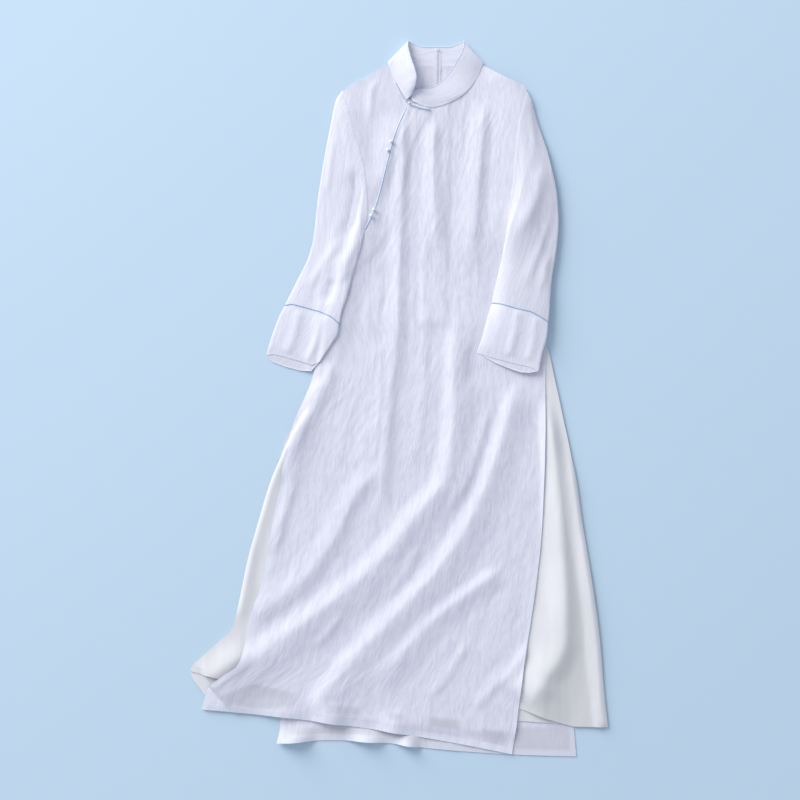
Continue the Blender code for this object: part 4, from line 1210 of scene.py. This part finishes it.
def make_sleeve(side):
    data = SLEEVES[side]
    seam = across_line(data["seam"])
    above = shifted(seam, data["cap"][2])
    below = shifted(seam, np.mean(np.array(data["mouth_upper"], float), axis=0))
    armhole = [(x + data["sign"] * gap, y) for gap, (x, y) in zip(ARMHOLE_GAPS, data["armhole"])]
    underarm = even_line([armhole[-1], data["inner"][0]], UNDERARM_CELLS + 1)
    start_lower = np.concatenate([even_line(armhole, TUBE_CELLS - UNDERARM_CELLS + 1), underarm[1:]])
    start_upper = across_line(data["cap"])
    start_upper[:, 0] -= data["sign"] * SEAM_OVERLAP * smooth((1 - edge_shares()) / 0.1)
    edges = [start_upper[0], *data["outer"][1:-1], above[0]], [*data["inner"][:-1], above[-1]]
    starts = start_upper, start_lower
    ring = sleeve_ring(side, starts, (above, above), edges, SLEEVE_CELLS, (0.0, 1.0), data["folds"])
    # The sleeve gets painted light, and the right one painted shade.
    sheet(
        "sleeve_" + side, "_cloth", ring, LINEN_MATERIAL, walked_grid(ring),
        closed=True, painted_light=data["painted_light"][0], sheer_shade=data["sheer_shade"],
    )

    edges = [below[0], *data["cuff_outer"][1:]], [below[-1], *data["cuff_inner"][1:]]
    mouth = across_line(data["mouth_upper"]), across_line(data["mouth_lower"])
    ring = sleeve_ring(side, (below, below), mouth, edges, CUFF_CELLS, (1.0, 2.0), data["cuff_folds"])
    u, v = walked_grid(ring)
    rows, columns = ring.shape[0], ring.shape[1] - 1
    underneath = (np.arange(columns) > TUBE_CELLS) * np.ones((rows, 1))
    last = (np.arange(rows) == rows - 1)[:, None]
    # The cuff's upper layer gets painted light, the lower lip at the mouth a painted highlight, and the
    # lower layer painted shade inside the mouth.
    sheet(
        "cuff_" + side, "_cloth", ring, LINEN_MATERIAL, (u, v + CUFF_WEAVE_SHIFT), closed=True,
        painted_light=data["painted_light"][1] * (1 - underneath) + MOUTH_PAINTED_HIGHLIGHT * underneath * last,
        sheer_shade=MOUTH_PAINTED_SHADE * underneath,
    )

    edges = [seam[0], below[0]], [seam[-1], below[-1]]
    ring = sleeve_ring(side, (seam, seam), (below, below), edges, 1, (1.0, 1.01), [])[0, :-1]
    ring[:, 2] = np.maximum(ring[:, 2], CUFF_PIPING_RADIUS)
    cord("cuff_piping_" + side, ring, CUFF_PIPING_RADIUS, CUFF_BLUE, closed=True)


make_sleeve("left")
make_sleeve("right")

# %% [markdown]
# ## The collar
#
# A stand collar is a stiffened band. At the back it has fallen flat and shows its inside, with the zip. At
# both sides of the neck it turns up, and its front ends lean in over the neck and show their outside. A
# shape says how the band climbs from its seam to its upper edge: how far, how early, and how much it dips
# again. The first shape is for the side of the neck and the second for its front.

# %% Make the collar
COLLAR_SHAPES = {
    "left": [(0.95, 1.4, 0.0), (0.95, 1.4, 0.0)],
    "right": [(0.8, 1.9, 0.0), (0.1, 6.0, 1.0)],
}
COLLAR_ROUND, COLLAR_ACROSS = 90, 17
FRONT_STARTS, FRONT_EASES = 0.35, 0.22
BACK_DROP = 2.2
ABOVE_PANEL = 1.5
# Painted light: the collar band is painted brighter.
COLLAR_PAINTED_LIGHT = 0.6


def make_collar(side):
    rows = smooth_line(COLLAR_ROWS[side], COLLAR_ROUND)
    seam, edge = rows[:, None, :3], rows[:, None, 3:]
    v = np.linspace(0.0, 1.0, COLLAR_ACROSS)[None, :, None]
    band = seam * (1 - v) + edge * v
    flat_back = smooth((3.0 - seam[..., 2:]) / 2)
    band[..., 1:2] = band[..., 1:2] - BACK_DROP * flat_back * (1 - v)
    shapes = COLLAR_SHAPES[side]
    beside, before = [rise * (1 - (1 - v) ** curve - dip * v * v) for rise, curve, dip in shapes]
    to_front = smooth((np.linspace(0.0, 1.0, COLLAR_ROUND) - FRONT_STARTS) / FRONT_EASES)[:, None, None]
    shape = beside * (1 - to_front) + before * to_front
    band[..., 2:] = seam[..., 2:] + (edge[..., 2:] - seam[..., 2:]) * shape
    under = shoulder_height if side == "left" else front_height
    clear = under(band[..., 0], band[..., 1]) + ABOVE_PANEL
    on_panel = smooth((rows[:, None, 2] - 2.5) / 1.0) * (v[..., 0] < 0.4)
    band[..., 2] = np.maximum(band[..., 2], clear * on_panel)
    # The band is painted brighter all over as painted light.
    sheet(
        "collar_" + side, "_cloth", band, LINEN_MATERIAL, walked_grid(band),
        thick=COLLAR_CLOTH, painted_light=COLLAR_PAINTED_LIGHT,
    )
    along = np.gradient(band[:, -1], axis=0)
    along = along / np.linalg.norm(along, axis=1)[:, None]
    way = band[:, -1] - band[:, -2]
    way = way - np.sum(way * along, axis=1)[:, None] * along
    line = band[:, -1] + way / np.linalg.norm(way, axis=1)[:, None] * PIPING_RADIUS
    line[:, 2] = np.maximum(line[:, 2], PIPING_RADIUS)
    cord("collar_piping_" + side, line, PIPING_RADIUS, COLLAR_BLUE)


make_collar("left")
make_collar("right")
print("collar rows:", [len(rows) for rows in COLLAR_ROWS.values()])

# %% [markdown]
# ## The zip
#
# The middle back seam opens with a light zip. Its two tapes show inside the neck. The teeth are a row of
# small blocks between them, with a larger one on each tape above the first tooth as a stop.

# %% Make the zip
TOOTH_PITCH = 1.5
TOOTH_SIZE = (3.4, 0.8, 0.7)
STOP_SIZE, STOP_APART = (2.2, 4.5, 1.4), 1.3


def zip_level(y):
    """Middle of the tapes, which rise from the back onto the collar."""
    return FLOOR + 0.6 + 0.6 * smooth((y - NECK_Y + 16) / 10)


def make_tapes():
    for side, node in ((-1, "zip_tape_left"), (1, "zip_tape_right")):
        ys = np.linspace(ZIP_TOP, ZIP_END, 96)
        inner = np.stack([seam_x(ys) + side * GAP / 2, ys], axis=1)
        plan = inner[:, None] + np.linspace(0.0, 1.0, 7)[None, :, None] * np.array([side * TAPE_WIDTH, 0.0])
        surface = raised(plan, zip_level(plan[..., 1]))
        sheet(node, "_weave", surface, TAPE_MATERIAL, walked_grid(plan), thick=TAPE_CLOTH)


def make_teeth():
    """The teeth and the two top stops as one mesh of small blocks."""
    ys = np.arange(ZIP_TOP - 3, ZIP_END + 4, -TOOTH_PITCH)
    side = np.where(np.arange(len(ys)) % 2 == 0, -1.0, 1.0)
    centres = np.stack([seam_x(ys) + 0.5 * side, ys, zip_level(ys) + 0.6], axis=1)
    stop_level = zip_level(ZIP_TOP) + 0.8
    stops = [[seam_x(ZIP_TOP) + way * STOP_APART, ZIP_TOP + 0.5, stop_level] for way in (-1, 1)]
    centres = np.concatenate([centres, stops])
    sizes = np.array([TOOTH_SIZE] * len(ys) + [STOP_SIZE] * 2)
    signs = np.array([(a, b, c) for c in (-0.5, 0.5) for b in (-0.5, 0.5) for a in (-0.5, 0.5)])
    points = (centres[:, None] + signs[None] * sizes[:, None]).reshape(-1, 3) * MM
    block = np.array([(0, 2, 3, 1), (4, 5, 7, 6), (0, 1, 5, 4), (2, 6, 7, 3), (0, 4, 6, 2), (1, 3, 7, 5)])
    faces = (block[None] + 8 * np.arange(len(centres))[:, None, None]).reshape(-1, 4)
    mesh = bpy.data.meshes.new("zip_teeth")
    mesh.from_pydata(points.tolist(), [], faces.tolist())
    piece = new_piece("zip_teeth", mesh, TOOTH_MATERIAL)
    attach(piece, "root")
    print("zip teeth:", len(ys))


make_tapes()
make_teeth()

# %% [markdown]
# ## The fastenings
#
# The opening's edge is piped. Two pairs of small pearls sit on it, and a knotted cord closes the collar.
# The knot is a tight ball of cord with two short legs.

# %% Make the fastenings
FROG_LIFT = 0.8
BESIDE_OPENING = 1.3


def ball(node, finish, centre, radius, material):
    """A small round bead at its place, which stands for a CAD node."""
    bpy.ops.object.select_all(action="DESELECT")
    spot = [value * MM for value in centre]
    bpy.ops.mesh.primitive_uv_sphere_add(segments=32, ring_count=20, radius=radius * MM, location=spot)
    piece = bpy.context.object
    piece.name = node + finish
    bpy.ops.object.transform_apply(location=True)
    bpy.ops.object.shade_smooth()
    piece.data.materials.append(material)
    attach(piece, "root")
    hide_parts(node)


def make_fastenings():
    line = smooth_line(OPENING, 60)[2:-2] - np.array([BESIDE_OPENING, 0.0])
    level = shoulder_height(*line.T) + CLOTH + PIPING_RADIUS
    cord("opening_piping", np.column_stack([line, level]), OPENING_PIPING_RADIUS, OPENING_BLUE)
    touching = PIPING_RADIUS + PEARL_RADIUS + GAP
    for number, (x, y) in enumerate(PEARLS, 1):
        beside = min(float(apart(x, y, line)), touching)
        rise = max(np.sqrt(touching**2 - beside**2), PEARL_RADIUS - PIPING_RADIUS)
        centre = (x, y, np.interp(y, line[::-1, 1], level[::-1]) + rise)
        ball("pearl_" + str(number), "_bead", centre, PEARL_RADIUS, PEARL_MATERIAL)
    top = float(front_height(*KNOT)) + FROG_LIFT
    ball("frog_knot", "_ball", (*KNOT, top + KNOT_RADIUS), KNOT_RADIUS, COLLAR_BLUE)
    left_leg = ("frog_leg_left", LEG_LEFT, shoulder_height, LEFT_CORD_RADIUS)
    right_leg = ("frog_leg_right", LEG_RIGHT, front_height, RIGHT_CORD_RADIUS)
    for node, path, under, radius in (left_leg, right_leg):
        line = smooth_line(path, 24)
        height = under(*line.T) + FROG_LIFT + radius
        cord(node, np.column_stack([line, height]), radius, COLLAR_BLUE)
    print("pearls:", len(PEARLS), "knot at", KNOT)


make_fastenings()

# %% [markdown]
# ## Floor, light and camera
#
# The dress lies on a plain pale blue surface. One large soft light stands at the upper left, as at a window,
# and the sky around it fills the shadows with a little blue. The camera looks straight down. The lens is
# set so that a pixel of the picture is 1.8 mm of the dress.

# %% Floor, light and camera
PHOTO_PIXEL, PHOTO_WIDTH = 1.8, 800
VIEW_HEIGHT = 3.0
SENSOR = 36.0
PAPER_BLUE = (0.61, 0.78, 0.905, 1.0)
WINDOW_PLACE = (-5.6, 6.35, 3.6)
SKY_BLUE = (0.80, 0.86, 1.0, 1.0)


def add_to_scene(name, data, location):
    made = bpy.data.objects.new(name, data)
    bpy.context.scene.collection.objects.link(made)
    made.location = location
    return made


bpy.ops.object.select_all(action="DESELECT")
bpy.ops.mesh.primitive_plane_add(size=8.0, location=(0.0, 0.0, -0.0005))
floor = bpy.context.object
floor.name = "floor"
floor_material, floor_shader, _ = new_material("pale_blue_paper", 0.9)
floor_shader.inputs["Base Color"].default_value = PAPER_BLUE
floor.data.materials.append(floor_material)

window = bpy.data.lights.new("window", "AREA")
window.shape = "DISK"
window.size = 6.5
window.energy = 935.0
window.color = (1.0, 0.98, 0.96)
window_object = add_to_scene("window", window, WINDOW_PLACE)
window_object.rotation_euler = (-window_object.location).to_track_quat("-Z", "Y").to_euler()

world = bpy.data.worlds.new("sky")
world.use_nodes = True
world.node_tree.nodes["Background"].inputs["Color"].default_value = SKY_BLUE
world.node_tree.nodes["Background"].inputs["Strength"].default_value = 0.57
bpy.context.scene.world = world
bpy.context.scene.view_settings.view_transform = "Standard"

camera = bpy.data.cameras.new("camera")
camera.sensor_width = SENSOR
camera.lens = SENSOR * VIEW_HEIGHT / (PHOTO_WIDTH * PHOTO_PIXEL * MM)
camera_place = (PHOTO_PIXEL * MM, -1.5 * PHOTO_PIXEL * MM, VIEW_HEIGHT)
bpy.context.scene.camera = add_to_scene("camera", camera, camera_place)
print("camera lens: %.1f mm" % camera.lens)
